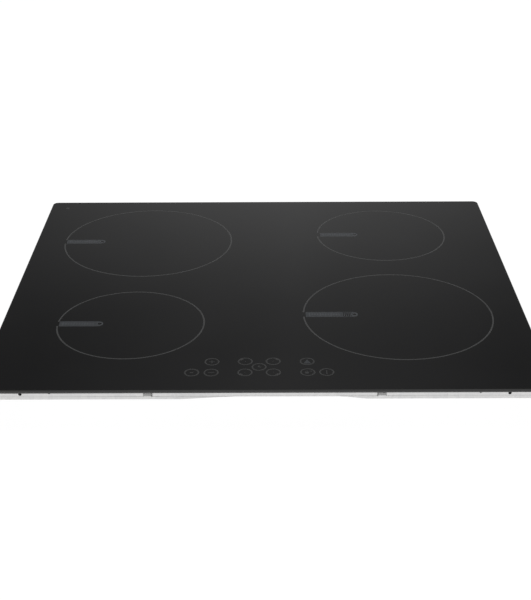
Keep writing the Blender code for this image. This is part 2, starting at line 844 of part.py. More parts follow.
def cable_share(y):
    """How far the ribbon has moved to the right on its way to the right power board, from 0 to 1."""
    start = -0.169
    end = BOARD_FRONT - 0.008
    return min(max((y - start) / (end - start), 0.0), 1.0)


# Terminals, cover, inlet and rating plate


def make_terminals():
    x0 = TERMINAL_CENTRE_X - 0.034
    x1 = TERMINAL_CENTRE_X + 0.034
    front = TRAY_BACK - 0.036
    step = TRAY_BACK - 0.023
    rear = TRAY_BACK - 0.0115
    bottom = SHEET + GAP
    outline = ((front, bottom), (rear, bottom), (rear, 0.012), (step, 0.012), (step, 0.024), (front, 0.024))
    bm = bmesh.new()
    loft(bm, [[(x, y, z) for y, z in outline] for x in (x0, x1)])
    block = add_object("terminal_block", bm, "grey_plastic")
    poles = 6
    pitch = (x1 - x0) / poles
    wells = bmesh.new()
    for i in range(poles):
        x = x0 + (i + 0.5) * pitch
        box(wells, (x - 0.0038, step - 0.006, 0.0150), (x + 0.0038, step + 0.002, 0.0210))
        prism(wells, circle(x, rear - 0.0058, 0.0034, 8), 0.0080, 0.0140)
    cut(block, wells)


def make_terminal_cover():
    """Flap behind the terminal opening. It hangs from a knuckle whose ends are its hinge pins."""
    _, axis_y, axis_z = COVER_AXIS
    low_x = TERMINAL_CENTRE_X - COVER_WIDTH / 2
    high_x = TERMINAL_CENTRE_X + COVER_WIDTH / 2
    inner = TRAY_BACK + GAP
    bm = bmesh.new()
    corners = (
        (inner, COVER_LOW),
        (inner + COVER_THICKNESS, COVER_LOW),
        (inner + COVER_THICKNESS, axis_z),
        (inner + 0.0006, axis_z),
        (inner, axis_z - 0.003),
    )
    loft(bm, [[(x, y, z) for y, z in corners] for x in (low_x, high_x)])
    cover = add_object("terminal_cover", bm, "black_plastic", (TERMINAL_CENTRE_X, axis_y, axis_z))
    knuckle = bmesh.new()
    ring = circle(0, 0, KNUCKLE_RADIUS, 12)
    loft(knuckle, [[(x, axis_y + u, axis_z + w) for u, w in ring] for x in (low_x, high_x)])
    join(cover, knuckle)
    pins = bmesh.new()
    ring = circle(0, 0, PIN_RADIUS, 10)
    reach = 0.0022
    ends = (low_x - reach, high_x + reach)
    loft(pins, [[(x, axis_y + u, axis_z + w) for u, w in ring] for x in ends])
    join(cover, pins)


def make_cable_inlet():
    """Rubber bush in the tray's rear wall, with a groove that grips the sheet."""
    x, y, z = INLET_CENTRE
    waist = INLET_HOLE - GAP
    flange = 0.0115
    profile = (
        (INLET_BORE, -0.0055),
        (flange - 0.0015, -0.0055),
        (flange, -0.0043),
        (flange, -SHEET - GAP),
        (waist, -SHEET - GAP),
        (waist, GAP),
        (flange, GAP),
        (flange, 0.0030),
        (flange - 0.0015, 0.0045),
        (INLET_BORE, 0.0045),
    )
    bm = bmesh.new()
    loops = []
    for r, along in profile:
        loops.append([(x + u, y + along, z + w) for u, w in circle(0, 0, r, 16)])
    loft(bm, loops, ring=True)
    add_object("cable_inlet", bm, "bush_rubber", INLET_CENTRE)


def make_rating_plate():
    bm = bmesh.new()
    x = TRAY_BOX[2] + GAP
    box(bm, (x, -0.030, 0.008), (x + 0.0004, 0.040, 0.030))
    add_object("rating_plate", bm, "label")


# Spring clips that hold the cooktop in its cut-out


def make_clip(name, side, x):
    """The clip's V: a leaf that flexes about the foot's lower edge and springs into a window."""
    face = RIM_DEPTH / 2 + GAP
    path = ((0.0, CLIP_AXIS_Z - GAP), *CLIP_LEAF)
    sections = []
    for i, (out, z) in enumerate(path):
        after = path[min(i + 1, len(path) - 1)]
        before = path[max(i - 1, 0)]
        along = Vector((after[0] - before[0], after[1] - before[1])).normalized()
        near = (out, z)
        far = (out - along.y * CLIP_SHEET, z + along.x * CLIP_SHEET)
        if i == 0:
            far = (CLIP_SHEET, z)
        section = []
        for (reach, height), across in ((near, -1), (near, 1), (far, 1), (far, -1)):
            section.append((x + across * CLIP_WIDTH / 2, side * (face + reach), height))
        sections.append(section)
    bm = bmesh.new()
    loft(bm, sections)
    add_object(f"clip_{name}", bm, "spring_steel", (x, side * face, CLIP_AXIS_Z))


def make_clip_foot(name, side, x):
    """The clip's flat foot on the rim's wall, with the rivet that holds it."""
    face = RIM_DEPTH / 2 + GAP
    low = (x - CLIP_WIDTH / 2, min(side * face, side * (face + CLIP_SHEET)), CLIP_AXIS_Z)
    high = (x + CLIP_WIDTH / 2, max(side * face, side * (face + CLIP_SHEET)), CLIP_FOOT_TOP)
    bm = bmesh.new()
    box(bm, low, high)
    foot = add_object(f"clip_foot_{name}", bm, "spring_steel", (x, side * face, CLIP_AXIS_Z))
    tail = -SHEET - 2 * GAP
    head = CLIP_SHEET / 2
    profile = (
        (0.0010, tail - 0.0008),
        (0.0020, tail - 0.0003),
        (0.0020, tail),
        (RIVET_RADIUS, tail),
        (RIVET_RADIUS, head),
        (0.0019, head),
        (0.0019, CLIP_SHEET + 0.0005),
        (0.0011, CLIP_SHEET + 0.0010),
    )
    loops = []
    for r, out in profile:
        loops.append([(x + u, side * (face + out), RIVET_Z + w) for u, w in circle(0, 0, r, 10)])
    rivet = bmesh.new()
    loft(rivet, loops)
    join(foot, rivet)


def make_clips():
    for row, side in (("front", -1), ("rear", 1)):
        for hand, x in (("left", -CLIP_OFFSET), ("right", CLIP_OFFSET)):
            name = f"{row}_{hand}"
            make_clip(name, side, x)
            make_clip_foot(name, side, x)


def build():
    clear_scene()
    make_glass()
    make_seal()
    make_rim()
    make_support_plate()
    make_tray()
    make_board_carrier()
    make_zones()
    for name, side in (("left", -1), ("right", 1)):
        make_power_board(name, side)
        make_heat_sink(name, side)
        make_capacitors(name, side)
    make_choke()
    make_fan()
    make_controls()
    make_terminals()
    make_terminal_cover()
    make_cable_inlet()
    make_rating_plate()
    make_clips()


build()
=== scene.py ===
"""Looks of the built-in induction cooktop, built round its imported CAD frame.

Metres, +Z up, +Y to the back. Places come from the frame's nodes or from the named sizes below.
"""

import json
import math

import bmesh
import bpy
from mathutils import Matrix, Vector


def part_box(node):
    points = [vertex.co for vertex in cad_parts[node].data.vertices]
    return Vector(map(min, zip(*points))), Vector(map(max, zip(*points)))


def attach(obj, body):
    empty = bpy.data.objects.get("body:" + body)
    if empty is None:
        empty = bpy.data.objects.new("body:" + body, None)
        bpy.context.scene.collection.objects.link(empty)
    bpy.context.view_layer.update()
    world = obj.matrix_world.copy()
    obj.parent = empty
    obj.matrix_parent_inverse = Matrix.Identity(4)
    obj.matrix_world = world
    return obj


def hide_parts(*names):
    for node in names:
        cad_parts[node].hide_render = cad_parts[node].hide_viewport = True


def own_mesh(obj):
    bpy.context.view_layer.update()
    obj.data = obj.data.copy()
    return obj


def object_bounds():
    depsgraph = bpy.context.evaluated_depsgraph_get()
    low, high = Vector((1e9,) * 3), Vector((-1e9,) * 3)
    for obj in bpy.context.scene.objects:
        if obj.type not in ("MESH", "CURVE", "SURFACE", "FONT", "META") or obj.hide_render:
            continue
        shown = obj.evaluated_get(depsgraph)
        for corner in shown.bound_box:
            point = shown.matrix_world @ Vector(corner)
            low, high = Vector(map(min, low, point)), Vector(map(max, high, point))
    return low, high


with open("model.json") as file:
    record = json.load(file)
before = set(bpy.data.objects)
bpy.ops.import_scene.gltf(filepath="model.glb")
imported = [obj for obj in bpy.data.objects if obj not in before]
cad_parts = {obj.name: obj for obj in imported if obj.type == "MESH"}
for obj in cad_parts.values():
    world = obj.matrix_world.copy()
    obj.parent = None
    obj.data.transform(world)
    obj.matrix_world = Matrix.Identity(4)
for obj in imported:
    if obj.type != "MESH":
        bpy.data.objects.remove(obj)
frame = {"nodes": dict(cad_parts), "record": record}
CAD_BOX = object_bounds()

# Printed decoration, from the centre of the glass
ZONES = {  # x, y and radius
    "rear_left": (-0.148, 0.118, 0.105),
    "front_left": (-0.148, -0.111, 0.081),
    "rear_right": (0.148, 0.138, 0.081),
    "front_right": (0.148, -0.090, 0.105),
}
RINGS = dict(ZONES, front_left=(-0.1475, -0.111, 0.0805))  # this ring is printed a little off its coil
BARS = {  # left and right end
    "rear_left": (-0.2514, -0.2026),
    "front_left": (-0.2264, -0.1779),
    "rear_right": (0.0702, 0.1185),
    "front_right": (0.0455, 0.1038),
}
RING_LINE = 0.0017
RING_GAP = 0.0052  # half of the gap that each ring leaves beside its bar
BAR_HEIGHT = 0.0124
BAR_BORDER = 0.0010
BAR_STEP = 0.00001  # the bar lies this far below the marks printed over it
DOT_RADIUS = 0.0023
KEY_RADIUS = 0.0070
KEY_LINE = 0.0015
KEYS = {
    "timer": (-0.0746, -0.2210),
    "minus": (-0.0547, -0.2211),
    "plus": (-0.0547, -0.1984),
    "select_rear_left": (-0.0202, -0.1977),
    "select_front_left": (-0.0202, -0.2210),
    "select_rear_right": (0.0087, -0.1977),
    "select_front_right": (0.0087, -0.2210),
    "clock": (-0.0059, -0.2097),
    "boost": (0.0438, -0.1982),
    "lock": (0.0438, -0.2208),
    "power": (0.0632, -0.2208),
}
PRINT_HEIGHT = 0.00003  # the enamel stands this far out of the polished face
PRINT_SINK = 0.00006  # and goes this far into it
PRINT_TOP = CAD_BOX[1].z
PRINT_LOW = PRINT_TOP - PRINT_HEIGHT - PRINT_SINK

CIRCLE = 2 * math.pi
SMOOTH_ANGLE = 35  # edges sharper than this, in degrees, stay sharp
PIECES = []


# Outlines and paths


def at_height(outline, z):
    return [(x, y, z) for x, y in outline]


def plan(low, high):
    """The rectangle (x0, y0, x1, y1) that a node's box covers, seen from above."""
    return (low.x, low.y, high.x, high.y)


def grown(rectangle, offset):
    x0, y0, x1, y1 = rectangle
    return (x0 - offset, y0 - offset, x1 + offset, y1 + offset)


def centred(x, y, width, height):
    """The rectangle (x0, y0, x1, y1) of a given size about x, y."""
    return (x - width / 2, y - height / 2, x + width / 2, y + height / 2)


def oblong(x0, y0, x1, y1):
    """Outline of a rectangle with sharp corners."""
    return [(x0, y0), (x1, y0), (x1, y1), (x0, y1)]


def rounded(rectangle, radius, steps=8):
    """Outline of a rectangle (x0, y0, x1, y1) with round corners."""
    x0, y0, x1, y1 = rectangle
    centre_x, centre_y = (x0 + x1) / 2, (y0 + y1) / 2
    outline = []
    for x, y, start in ((x1, y0, -90), (x1, y1, 0), (x0, y1, 90), (x0, y0, 180)):
        corner_x = x - math.copysign(radius, x - centre_x)
        corner_y = y - math.copysign(radius, y - centre_y)
        outline += arc(corner_x, corner_y, radius, start, start + 90, steps)
    return outline


def obround(x0, y0, x1, y1, steps=6):
    """A slot's outline with round ends, a hair short of half circles so that no points coincide."""
    return rounded((x0, y0, x1, y1), min(x1 - x0, y1 - y0) * 0.499, steps)


def circle(x, y, radius, segments):
    angles = [CIRCLE * i / segments for i in range(segments)]
    return [(x + radius * math.cos(a), y + radius * math.sin(a)) for a in angles]


def arc(x, y, radius, start, end, steps):
    """Points along an arc, angles in degrees."""
    angles = [math.radians(start + (end - start) * step / steps) for step in range(steps + 1)]
    return [(x + radius * math.cos(a), y + radius * math.sin(a)) for a in angles]


def rotated(outline, x, y, degrees):
    """An outline turned about the origin, then moved to x, y."""
    turn = Matrix.Rotation(math.radians(degrees), 2)
    return [(x + point.x, y + point.y) for point in (turn @ Vector(corner) for corner in outline)]


def star(points, count, x, y):
    """Points turned about x, y in count equal steps, as one outline."""
    return [point for i in range(count) for point in rotated(points, x, y, 360 / count * i)]


def direction(path, i):
    """Unit vector along a path of points at point i."""
    before, after = path[max(i - 1, 0)], path[min(i + 1, len(path) - 1)]
    return Vector([b - a for a, b in zip(before, after)]).normalized()


def smooth_path(points, steps=5):
    """A Catmull-Rom curve through points."""
    curve = []
    for i in range(len(points) - 1):
        before, after = points[max(i - 1, 0)], points[min(i + 2, len(points) - 1)]
        for step in range(steps):
            t = step / steps
            point = []
            for a, b, c, d in zip(before, points[i], points[i + 1], after):
                square, cube = 2 * a - 5 * b + 4 * c - d, 3 * b - a - 3 * c + d
                point.append(0.5 * (2 * b + (c - a) * t + square * t * t + cube * t**3))
            curve.append(tuple(point))
    curve.append(tuple(points[-1]))
    return curve


def helix(x, y, radius, low, high, laps, count, start=0.0, bow=0.0):
    """Points up a helix about an upright axis that bows out along Y by bow at half height."""
    path = []
    for i in range(count + 1):
        share = i / count
        angle = start + CIRCLE * laps * share
        bend = bow * math.sin(math.pi * share) ** 2
        z = low + (high - low) * share
        path.append((x + radius * math.cos(angle), y + bend + radius * math.sin(angle), z))
    return path


# Solids


class Shape:
    """Closed bodies gathered into one mesh. Each call adds a body and returns the shape."""

    def __init__(self):
        self.bm = bmesh.new()

    def loft(self, sections, ring=False):
        """Skins sections, each a list of points of the same length."""
        rows = [[self.bm.verts.new(point) for point in section] for section in sections]
        pairs = list(zip(rows, rows[1:]))
        if ring:
            pairs.append((rows[-1], rows[0]))
        else:
            self.bm.faces.new(reversed(rows[0]))
            self.bm.faces.new(rows[-1])
        for low, high in pairs:
            for i in range(len(low)):
                j = (i + 1) % len(low)
                self.bm.faces.new((low[i], low[j], high[j], high[i]))
        return self

    def prism(self, outline, low, high):
        return self.loft([at_height(outline, low), at_height(outline, high)])

    def across(self, outline, near, far):
        """A prism along Y of an outline of (x, z)."""
        return self.loft([[(x, y, z) for x, z in outline] for y in (near, far)])

    def sideways(self, outline, near, far):
        """A prism along X of an outline of (y, z)."""
        return self.loft([[(x, y, z) for y, z in outline] for x in (near, far)])

    def turned(self, x, y, profile, segments, ring=False):
        """Turns a profile of (radius, height) about the upright line through x, y.

        The profile is closed with ring, and otherwise ends in two flat faces.
        """
        return self.loft([at_height(circle(x, y, radius, segments), z) for radius, z in profile], ring)

    def spun(self, axis, centre, profile, segments, ring=False):
        """Turns a profile of (radius, distance) about the line through centre along axis, X or Y."""
        sections = []
        for radius, along in profile:
            loop = circle(0, 0, radius, segments)
            offsets = [(along, u, v) if axis == "X" else (u, along, v) for u, v in loop]
            sections.append([Vector(centre) + Vector(offset) for offset in offsets])
        return self.loft(sections, ring)

    def swept(self, rectangle, corner, section, ring=False, steps=8):
        """Sweeps a section of (offset outwards, height) round a rectangle with round corners."""
        loops = []
        for offset, z in section:
            radius = max(corner + offset, 0.0008)
            loops.append(at_height(rounded(grown(rectangle, offset), radius, steps), z))
        return self.loft(loops, ring)

    def plate(self, outline, holes, low, high):
        """A flat plate of any outline with holes."""
        edges = []
        for loop in [outline, *holes]:
            corners = [self.bm.verts.new((x, y, high)) for x, y in loop]
            edges += [self.bm.edges.new(pair) for pair in zip(corners, corners[1:] + corners[:1])]
        filled = bmesh.ops.triangle_fill(self.bm, use_beauty=True, use_dissolve=False, edges=edges)
        faces = [f for f in filled["geom"] if isinstance(f, bmesh.types.BMFace)]
        copied = bmesh.ops.extrude_face_region(self.bm, geom=faces)
        moved = [v for v in copied["geom"] if isinstance(v, bmesh.types.BMVert)]
        bmesh.ops.translate(self.bm, verts=moved, vec=(0, 0, low - high))
        return self

    def wire(self, path, radius, sides=8):
        """A round wire along a path of points, with its sections kept from twisting."""
        upright = Vector((0.0, 0.0, 1.0))
        loops = []
        for i, point in enumerate(path):
            along = direction(path, i)
            upright = upright - along * upright.dot(along)
            if upright.length < 0.001:
                upright = along.orthogonal()
            upright.normalize()
            middle, other = Vector(point), along.cross(upright)
            loops.append([middle + upright * u + other * v for u, v in circle(0, 0, radius, sides)])
        return self.loft(loops)

    def to_mesh(self, name, materials):
        bmesh.ops.recalc_face_normals(self.bm, faces=self.bm.faces)
        mesh = bpy.data.meshes.new(name)
        self.bm.to_mesh(mesh)
        self.bm.free()
        for material in materials:
            mesh.materials.append(material)
        return mesh


def add_object(name, data):
    thing = bpy.data.objects.new(name, data)
    bpy.context.scene.collection.objects.link(thing)
    return thing


def smooth(mesh, angle=SMOOTH_ANGLE):
    mesh.shade_smooth()
    mesh.set_sharp_from_angle(angle=math.radians(angle))


def make_piece(name, shape, material, node=None, body="root", angle=SMOOTH_ANGLE):
    """Turns a shape into a piece that rides on body, in place of a CAD node if one is named.
    """
    piece = add_object(name, shape.to_mesh(name, [material]))
    smooth(piece.data, angle)
    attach(piece, body)
    if node:
        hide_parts(node)
    PIECES.append(piece)
    return piece


def bake(piece):
    """Freezes the piece's modifiers into its mesh."""
    bpy.context.view_layer.update()
    evaluated = piece.evaluated_get(bpy.context.evaluated_depsgraph_get())
    mesh = bpy.data.meshes.new_from_object(evaluated)
    piece.modifiers.clear()
    piece.data = mesh
    return mesh


def soften(piece, width, segments=2):
    """Rounds the sharp edges of a piece."""
    modifier = piece.modifiers.new("soften", "BEVEL")
    modifier.width = width
    modifier.segments = segments
    modifier.limit_method = "ANGLE"
    modifier.angle_limit = math.radians(40)
    modifier.use_clamp_overlap = True
    smooth(bake(piece))


def carve(piece, shape, operation="DIFFERENCE"):
    """Cuts a shape out of a piece, or joins it on."""
    tool = add_object("tool", shape.to_mesh("tool", piece.data.materials))
    modifier = piece.modifiers.new("carve", "BOOLEAN")
    modifier.operation = operation
    modifier.object = tool
    modifier.solver = "EXACT"
    smooth(bake(piece))
    bpy.data.objects.remove(tool)


def settle_normals():
    """Lets the large flat faces set the shading where they meet small round ones."""
    for piece in PIECES:
        modifier = piece.modifiers.new("settle", "WEIGHTED_NORMAL")
        modifier.keep_sharp = True
        modifier.weight = 80
    for piece in PIECES:
        bake(piece)


# Shader helpers


def add_node(tree, kind, inputs, **settings):
    """Adds a shader node. Each input is linked if its value is another node's output, and set if not."""
    node = tree.nodes.new("ShaderNode" + kind)
    for name, value in settings.items():
        setattr(node, name, value)
    for name, value in inputs.items():
        if isinstance(value, bpy.types.NodeSocket):
            tree.links.new(value, node.inputs[name])
        else:
            node.inputs[name].default_value = value
    return node


def add_ramp(tree, share, stops):
    """A colour ramp over share, with stops of (position, colour)."""
    node = add_node(tree, "ValToRGB", {"Fac": share})
    elements = node.color_ramp.elements
    while len(elements) < len(stops):
        elements.new(0.5)
    for element, (position, colour) in zip(elements, stops):
        element.position = position
        element.color = (*colour, 1.0)
    return node.outputs["Color"]


def grey(value):
    return (value, value, value)


class Surface:
    """A Principled material, with short calls for the pattern nodes that read its object's coordinates."""

    def __init__(self, name, metallic=0.0, roughness=0.5):
        self.material = bpy.data.materials.new(name)
        self.material.use_nodes = True
        self.tree = self.material.node_tree
        self.inputs = self.tree.nodes["Principled BSDF"].inputs
        self.inputs["Roughness"].default_value = roughness
        self.inputs["Metallic"].default_value = metallic
        self.inputs["IOR"].default_value = 1.5
        self.place = self.tree.nodes.new("ShaderNodeTexCoord").outputs["Object"]

    def pattern(self, kind, output, stretch, inputs, **settings):
        """A texture node over the object's own coordinates, stretched."""
        mapping = add_node(self.tree, "Mapping", {"Scale": stretch, "Vector": self.place})
        inputs["Vector"] = mapping.outputs["Vector"]
        return add_node(self.tree, kind, inputs, **settings).outputs[output]

    def noise(self, scale, detail=3.0, stretch=(1, 1, 1), distortion=0.0):
        inputs = {"Scale": scale, "Detail": detail, "Distortion": distortion}
        return self.pattern("TexNoise", "Fac", stretch, inputs)

    def cells(self, scale, output="Color", stretch=(1, 1, 1), **settings):
        return self.pattern("TexVoronoi", output, stretch, {"Scale": scale}, **settings)

    def spread(self, value, low, high, start=0.3, end=0.7):
        """Value, from start to end, as a number from low to high."""
        inputs = {"Value": value, "From Min": start, "From Max": end, "To Min": low, "To Max": high}
        return add_node(self.tree, "MapRange", inputs).outputs["Result"]

    def between(self, value, first, second, start=0.3, end=0.7):
        """A colour from first to second as value goes from start to end."""
        return add_ramp(self.tree, value, ((start, first), (end, second)))

    def mixed(self, share, first, second):
        """Blends two colour outputs by share."""
        inputs = {"Factor": share, 6: first, 7: second}
        return add_node(self.tree, "Mix", inputs, data_type="RGBA").outputs[2]

    def arithmetic(self, operation, first, second=0.0):
        return add_node(self.tree, "Math", {0: first, 1: second}, operation=operation).outputs[0]

    def finish(self, colour, roughness):
        """Links the colour and the roughness, and returns the material."""
        self.tree.links.new(colour, self.inputs["Base Color"])
        self.tree.links.new(roughness, self.inputs["Roughness"])
        return self.material

    def layered(self, share, fine, fine_tones, broad, broad_tones, roughness, start=0.3, end=0.7):
        """Finishes with a fine pattern's tones under share of a broad one's, and the fine one's gloss."""
        detail = self.between(fine, *fine_tones, start, end)
        tone = self.mixed(share, detail, self.between(broad, *broad_tones))
        return self.finish(tone, self.spread(fine, *roughness, start, end))

    def bump(self, height, distance, strength=1.0):
        """Relief on top of any relief that the surface has already."""
        inputs = {"Strength": strength, "Distance": distance, "Height": height}
        if self.inputs["Normal"].is_linked:
            inputs["Normal"] = self.inputs["Normal"].links[0].from_socket
        relief = add_node(self.tree, "Bump", inputs)
        self.tree.links.new(relief.outputs["Normal"], self.inputs["Normal"])


# Materials


def mottled(name, scale, dark, light, roughness, metallic=0.0, detail=3.0, relief=None, grain=None):
    """Tone and gloss that vary with one noise. The relief is that noise's, or comes from a finer grain."""
    surface = Surface(name, metallic)
    mottle = surface.noise(scale, detail)
    if relief:
        surface.bump(mottle, 0.00006, relief)
    if grain:
        surface.bump(surface.noise(grain, 2.0), 0.00003, 0.5)
    return surface.finish(surface.between(mottle, dark, light), surface.spread(mottle, *roughness))


def moulded_rubber(name="moulded_rubber", dark=grey(0.014), light=grey(0.026)):
    return mottled(name, 90.0, dark, light, (0.55, 0.75), detail=4.0, grain=1800.0)


def moulded_plastic(name, dark, light, roughness=(0.42, 0.56)):
    """Spark-eroded moulding texture."""
    surface, tones = Surface(name), (dark, light)
    texture = surface.noise(1500.0)
    surface.bump(texture, 0.00005, 0.5)
    return surface.layered(0.6, texture, tones, surface.noise(18.0), tones, roughness)


def polished_glass():
    """Black glass-ceramic: deep, with the faintest cloudiness in its gloss."""
    surface = Surface("polished_glass")
    cloud = surface.noise(7.0, 4.0, distortion=0.4)
    wiped = surface.noise(28.0, stretch=(1.0, 0.15, 1.0))
    gloss = surface.spread(surface.arithmetic("MULTIPLY", cloud, wiped), 0.035, 0.075, 0.1, 0.45)
    return surface.finish(surface.between(cloud, (0.0040, 0.0040, 0.0044), (0.0062, 0.0062, 0.0066)), gloss)


def ground_edge():
    """The ground and fire-polished arris round the glass."""
    surface = Surface("ground_edge")
    grind = surface.noise(1400.0, 2.0, stretch=(0.2, 0.2, 1.0))
    return surface.finish(surface.between(grind, grey(0.002), grey(0.006)), surface.spread(grind, 0.10, 0.18))


def enamel_print(name, dark, light):
    """Screen-printed ceramic enamel, slightly uneven where the mesh laid it down."""
    surface, tones = Surface(name), (dark, light)
    speck, haze = surface.noise(2600.0, 2.0), surface.noise(60.0, 2.0)
    return surface.layered(0.5, speck, tones, haze, tones, (0.30, 0.42))


def galvanised_sheet():
    """Hot-dip galvanised steel: flat zinc crystals, each with its own tone, under a thin dull film."""
    surface = Surface("galvanised_sheet", metallic=1.0)
    spangle = surface.cells(170.0)
    border = surface.cells(170.0, "Distance", feature="DISTANCE_TO_EDGE")
    feather = surface.noise(900.0, stretch=(1.0, 0.25, 0.25))
    film = surface.noise(9.0, 4.0)
    crystal = surface.between(spangle, (0.55, 0.55, 0.555), (0.78, 0.775, 0.77), 0.1, 0.9)
    dull = surface.between(film, grey(0.60), (0.72, 0.715, 0.71))
    tone = surface.mixed(0.45, crystal, dull)
    surface.bump(surface.spread(border, 0.0, 1.0, 0.0, 0.06), 0.00001, 0.5)
    surface.bump(feather, 0.00001, 0.4)
    surface.bump(surface.noise(16.0, 2.0), 0.0010, 0.25)
    streaked = surface.mixed(0.12, tone, surface.between(feather, grey(0.50), grey(0.80)))
    return surface.finish(streaked, surface.spread(spangle, 0.33, 0.52, 0.1, 0.9))


def mill_aluminium():
    surface = Surface("mill_aluminium", metallic=1.0)
    streak = surface.noise(420.0, stretch=(0.03, 1.0, 1.0))
    surface.bump(streak, 0.00002, 0.5)
    streaks, blotches = (grey(0.62), grey(0.78)), (grey(0.66), grey(0.76))
    return surface.layered(0.4, streak, streaks, surface.noise(14.0), blotches, (0.28, 0.42))


def rolled_spring_steel():
    surface = Surface("rolled_spring_steel", metallic=1.0)
    grain = surface.noise(900.0, stretch=(1.0, 0.1, 0.1))
    surface.bump(grain, 0.00002, 0.4)
    grains, stains = (grey(0.62), grey(0.82)), ((0.60, 0.59, 0.57), grey(0.78))
    return surface.layered(0.5, grain, grains, surface.noise(120.0), stains, (0.48, 0.62))


def closed_cell_foam():
    surface = Surface("closed_cell_foam")
    pores = surface.cells(1300.0, "Distance")
    surface.bump(pores, 0.00020, 0.8)
    walls, tones = (grey(0.012), grey(0.034)), (grey(0.018), grey(0.030))
    return surface.layered(0.5, pores, walls, surface.noise(60.0), tones, (0.95, 0.80), 0.0, 0.6)


def circuit_board():
    """Green solder mask over bundles of straight copper tracks, with tinned spots."""
    surface = Surface("circuit_board")
    nets = surface.cells(26.0, "Distance", distance="CHEBYCHEV")
    lanes = surface.arithmetic("FRACT", surface.arithmetic("MULTIPLY", nets, 13.0))
    left, right = surface.spread(lanes, 0.0, 1.0, 0.02, 0.10), surface.spread(lanes, 1.0, 0.0, 0.40, 0.48)
    track = surface.arithmetic("MULTIPLY", right, left)
    surface.bump(track, 0.00005, 0.6)
    mask = surface.between(track, (0.006, 0.060, 0.028), (0.012, 0.125, 0.050), 0.2, 0.8)
    spots = surface.cells(300.0, "Distance")
    tin = surface.between(spots, (0.55, 0.56, 0.52), (0.010, 0.090, 0.035), 0.10, 0.14)
    return surface.finish(surface.mixed(0.22, mask, tin), surface.spread(track, 0.34, 0.26, 0.0, 1.0))


def mica_paper():
    surface = Surface("mica_paper")
    flakes, clouds = surface.cells(500.0), surface.noise(30.0, 4.0)
    straw, sand = ((0.52, 0.45, 0.33), (0.78, 0.72, 0.58)), ((0.60, 0.53, 0.40), (0.74, 0.68, 0.55))
    return surface.layered(0.5, flakes, straw, clouds, sand, (0.35, 0.60), 0.1, 0.9)


def enamelled_wire():
    """Bundle of fine enamelled strands."""
    surface = Surface("enamelled_wire", metallic=0.75)
    strands = surface.noise(1600.0, 2.0)
    surface.bump(strands, 0.00010, 0.7)
    fine, broad = ((0.30, 0.09, 0.03), (0.68, 0.30, 0.13)), ((0.45, 0.17, 0.07), (0.60, 0.26, 0.11))
    return surface.layered(0.5, strands, fine, surface.noise(50.0), broad, (0.30, 0.48))


def earth_insulation():
    """Green sleeve with yellow bands."""
    surface = Surface("earth_sleeve")
    bands = surface.cells(90.0, "Distance", stretch=(1.0, 1.0, 3.0))
    colour = surface.between(bands, (0.020, 0.220, 0.030), (0.640, 0.480, 0.020), 0.42, 0.46)
    return surface.finish(colour, surface.spread(surface.noise(90.0), 0.40, 0.55))


GLASS = polished_glass()
EDGE = ground_edge()
LINE_PRINT = enamel_print("line_print", grey(0.037), (0.054, 0.055, 0.056))
KEY_PRINT = enamel_print("key_print", grey(0.026), (0.038, 0.039, 0.039))
BAR_PRINT = enamel_print("bar_print", (0.024, 0.027, 0.031), (0.034, 0.038, 0.043))
TICK_PRINT = enamel_print("tick_print", (0.050, 0.054, 0.061), (0.066, 0.071, 0.079))
GALVANISED = galvanised_sheet()
ALUMINIUM = mill_aluminium()
SPRING_STEEL = rolled_spring_steel()
ZINC = mottled("zinc_screw", 700.0, (0.52, 0.53, 0.55), (0.70, 0.71, 0.73), (0.22, 0.38), 1.0)
BRASS = mottled("brass_part", 500.0, (0.60, 0.44, 0.18), (0.78, 0.60, 0.28), (0.25, 0.42), 1.0)
BLACK_PLASTIC = moulded_plastic("black_moulding", grey(0.020), grey(0.034))
GREY_PLASTIC = moulded_plastic("grey_moulding", (0.34, 0.35, 0.36), (0.44, 0.45, 0.46))
CAN_SLEEVE = moulded_plastic("can_sleeve", (0.012, 0.014, 0.030), (0.022, 0.025, 0.050), (0.18, 0.30))
RELAY_CASE = moulded_plastic("relay_case", (0.012, 0.013, 0.014), (0.024, 0.025, 0.027), (0.25, 0.38))
FOAM = closed_cell_foam()
BOARD = circuit_board()
MICA = mica_paper()
WIRE = enamelled_wire()
FERRITE_TONES = ((0.030, 0.031, 0.034), (0.070, 0.070, 0.074))
FERRITE = mottled("sintered_ferrite", 1200.0, *FERRITE_TONES, (0.55, 0.80), detail=4.0, relief=0.6)
YELLOWS = ((0.56, 0.38, 0.04), (0.76, 0.54, 0.08))
CAPACITOR = mottled("capacitor_case", 220.0, *YELLOWS, (0.24, 0.40), grain=1400.0)
LABEL = mottled("foil_label", 160.0, grey(0.66), grey(0.80), (0.28, 0.42), 0.9, relief=0.4)
RUBBER = moulded_rubber()
SILICONE = moulded_rubber("white_silicone", (0.58, 0.58, 0.55), (0.70, 0.70, 0.67))
SLEEVE = moulded_rubber("red_sleeve", (0.38, 0.030, 0.018), (0.50, 0.045, 0.026))
BROWN_SLEEVE = moulded_rubber("brown_sleeve", (0.085, 0.030, 0.012), (0.120, 0.045, 0.018))
BLUE_SLEEVE = moulded_rubber("blue_sleeve", (0.010, 0.060, 0.300), (0.018, 0.085, 0.380))
EARTH_SLEEVE = earth_insulation()

SLOT_MATERIALS = {
    "ceramic_glass": GLASS,
    "seal_foam": FOAM,
    "galvanised_steel": GALVANISED,
    "aluminium": ALUMINIUM,
    "spring_steel": SPRING_STEEL,
    "mica": MICA,
    "litz_wire": WIRE,
    "black_plastic": BLACK_PLASTIC,
    "grey_plastic": GREY_PLASTIC,
    "ferrite": FERRITE,
    "sensor_silicone": SILICONE,
    "circuit_board": BOARD,
    "capacitor_case": CAPACITOR,
    "lead_insulation": SLEEVE,
    "bush_rubber": RUBBER,
    "label": LABEL,
}
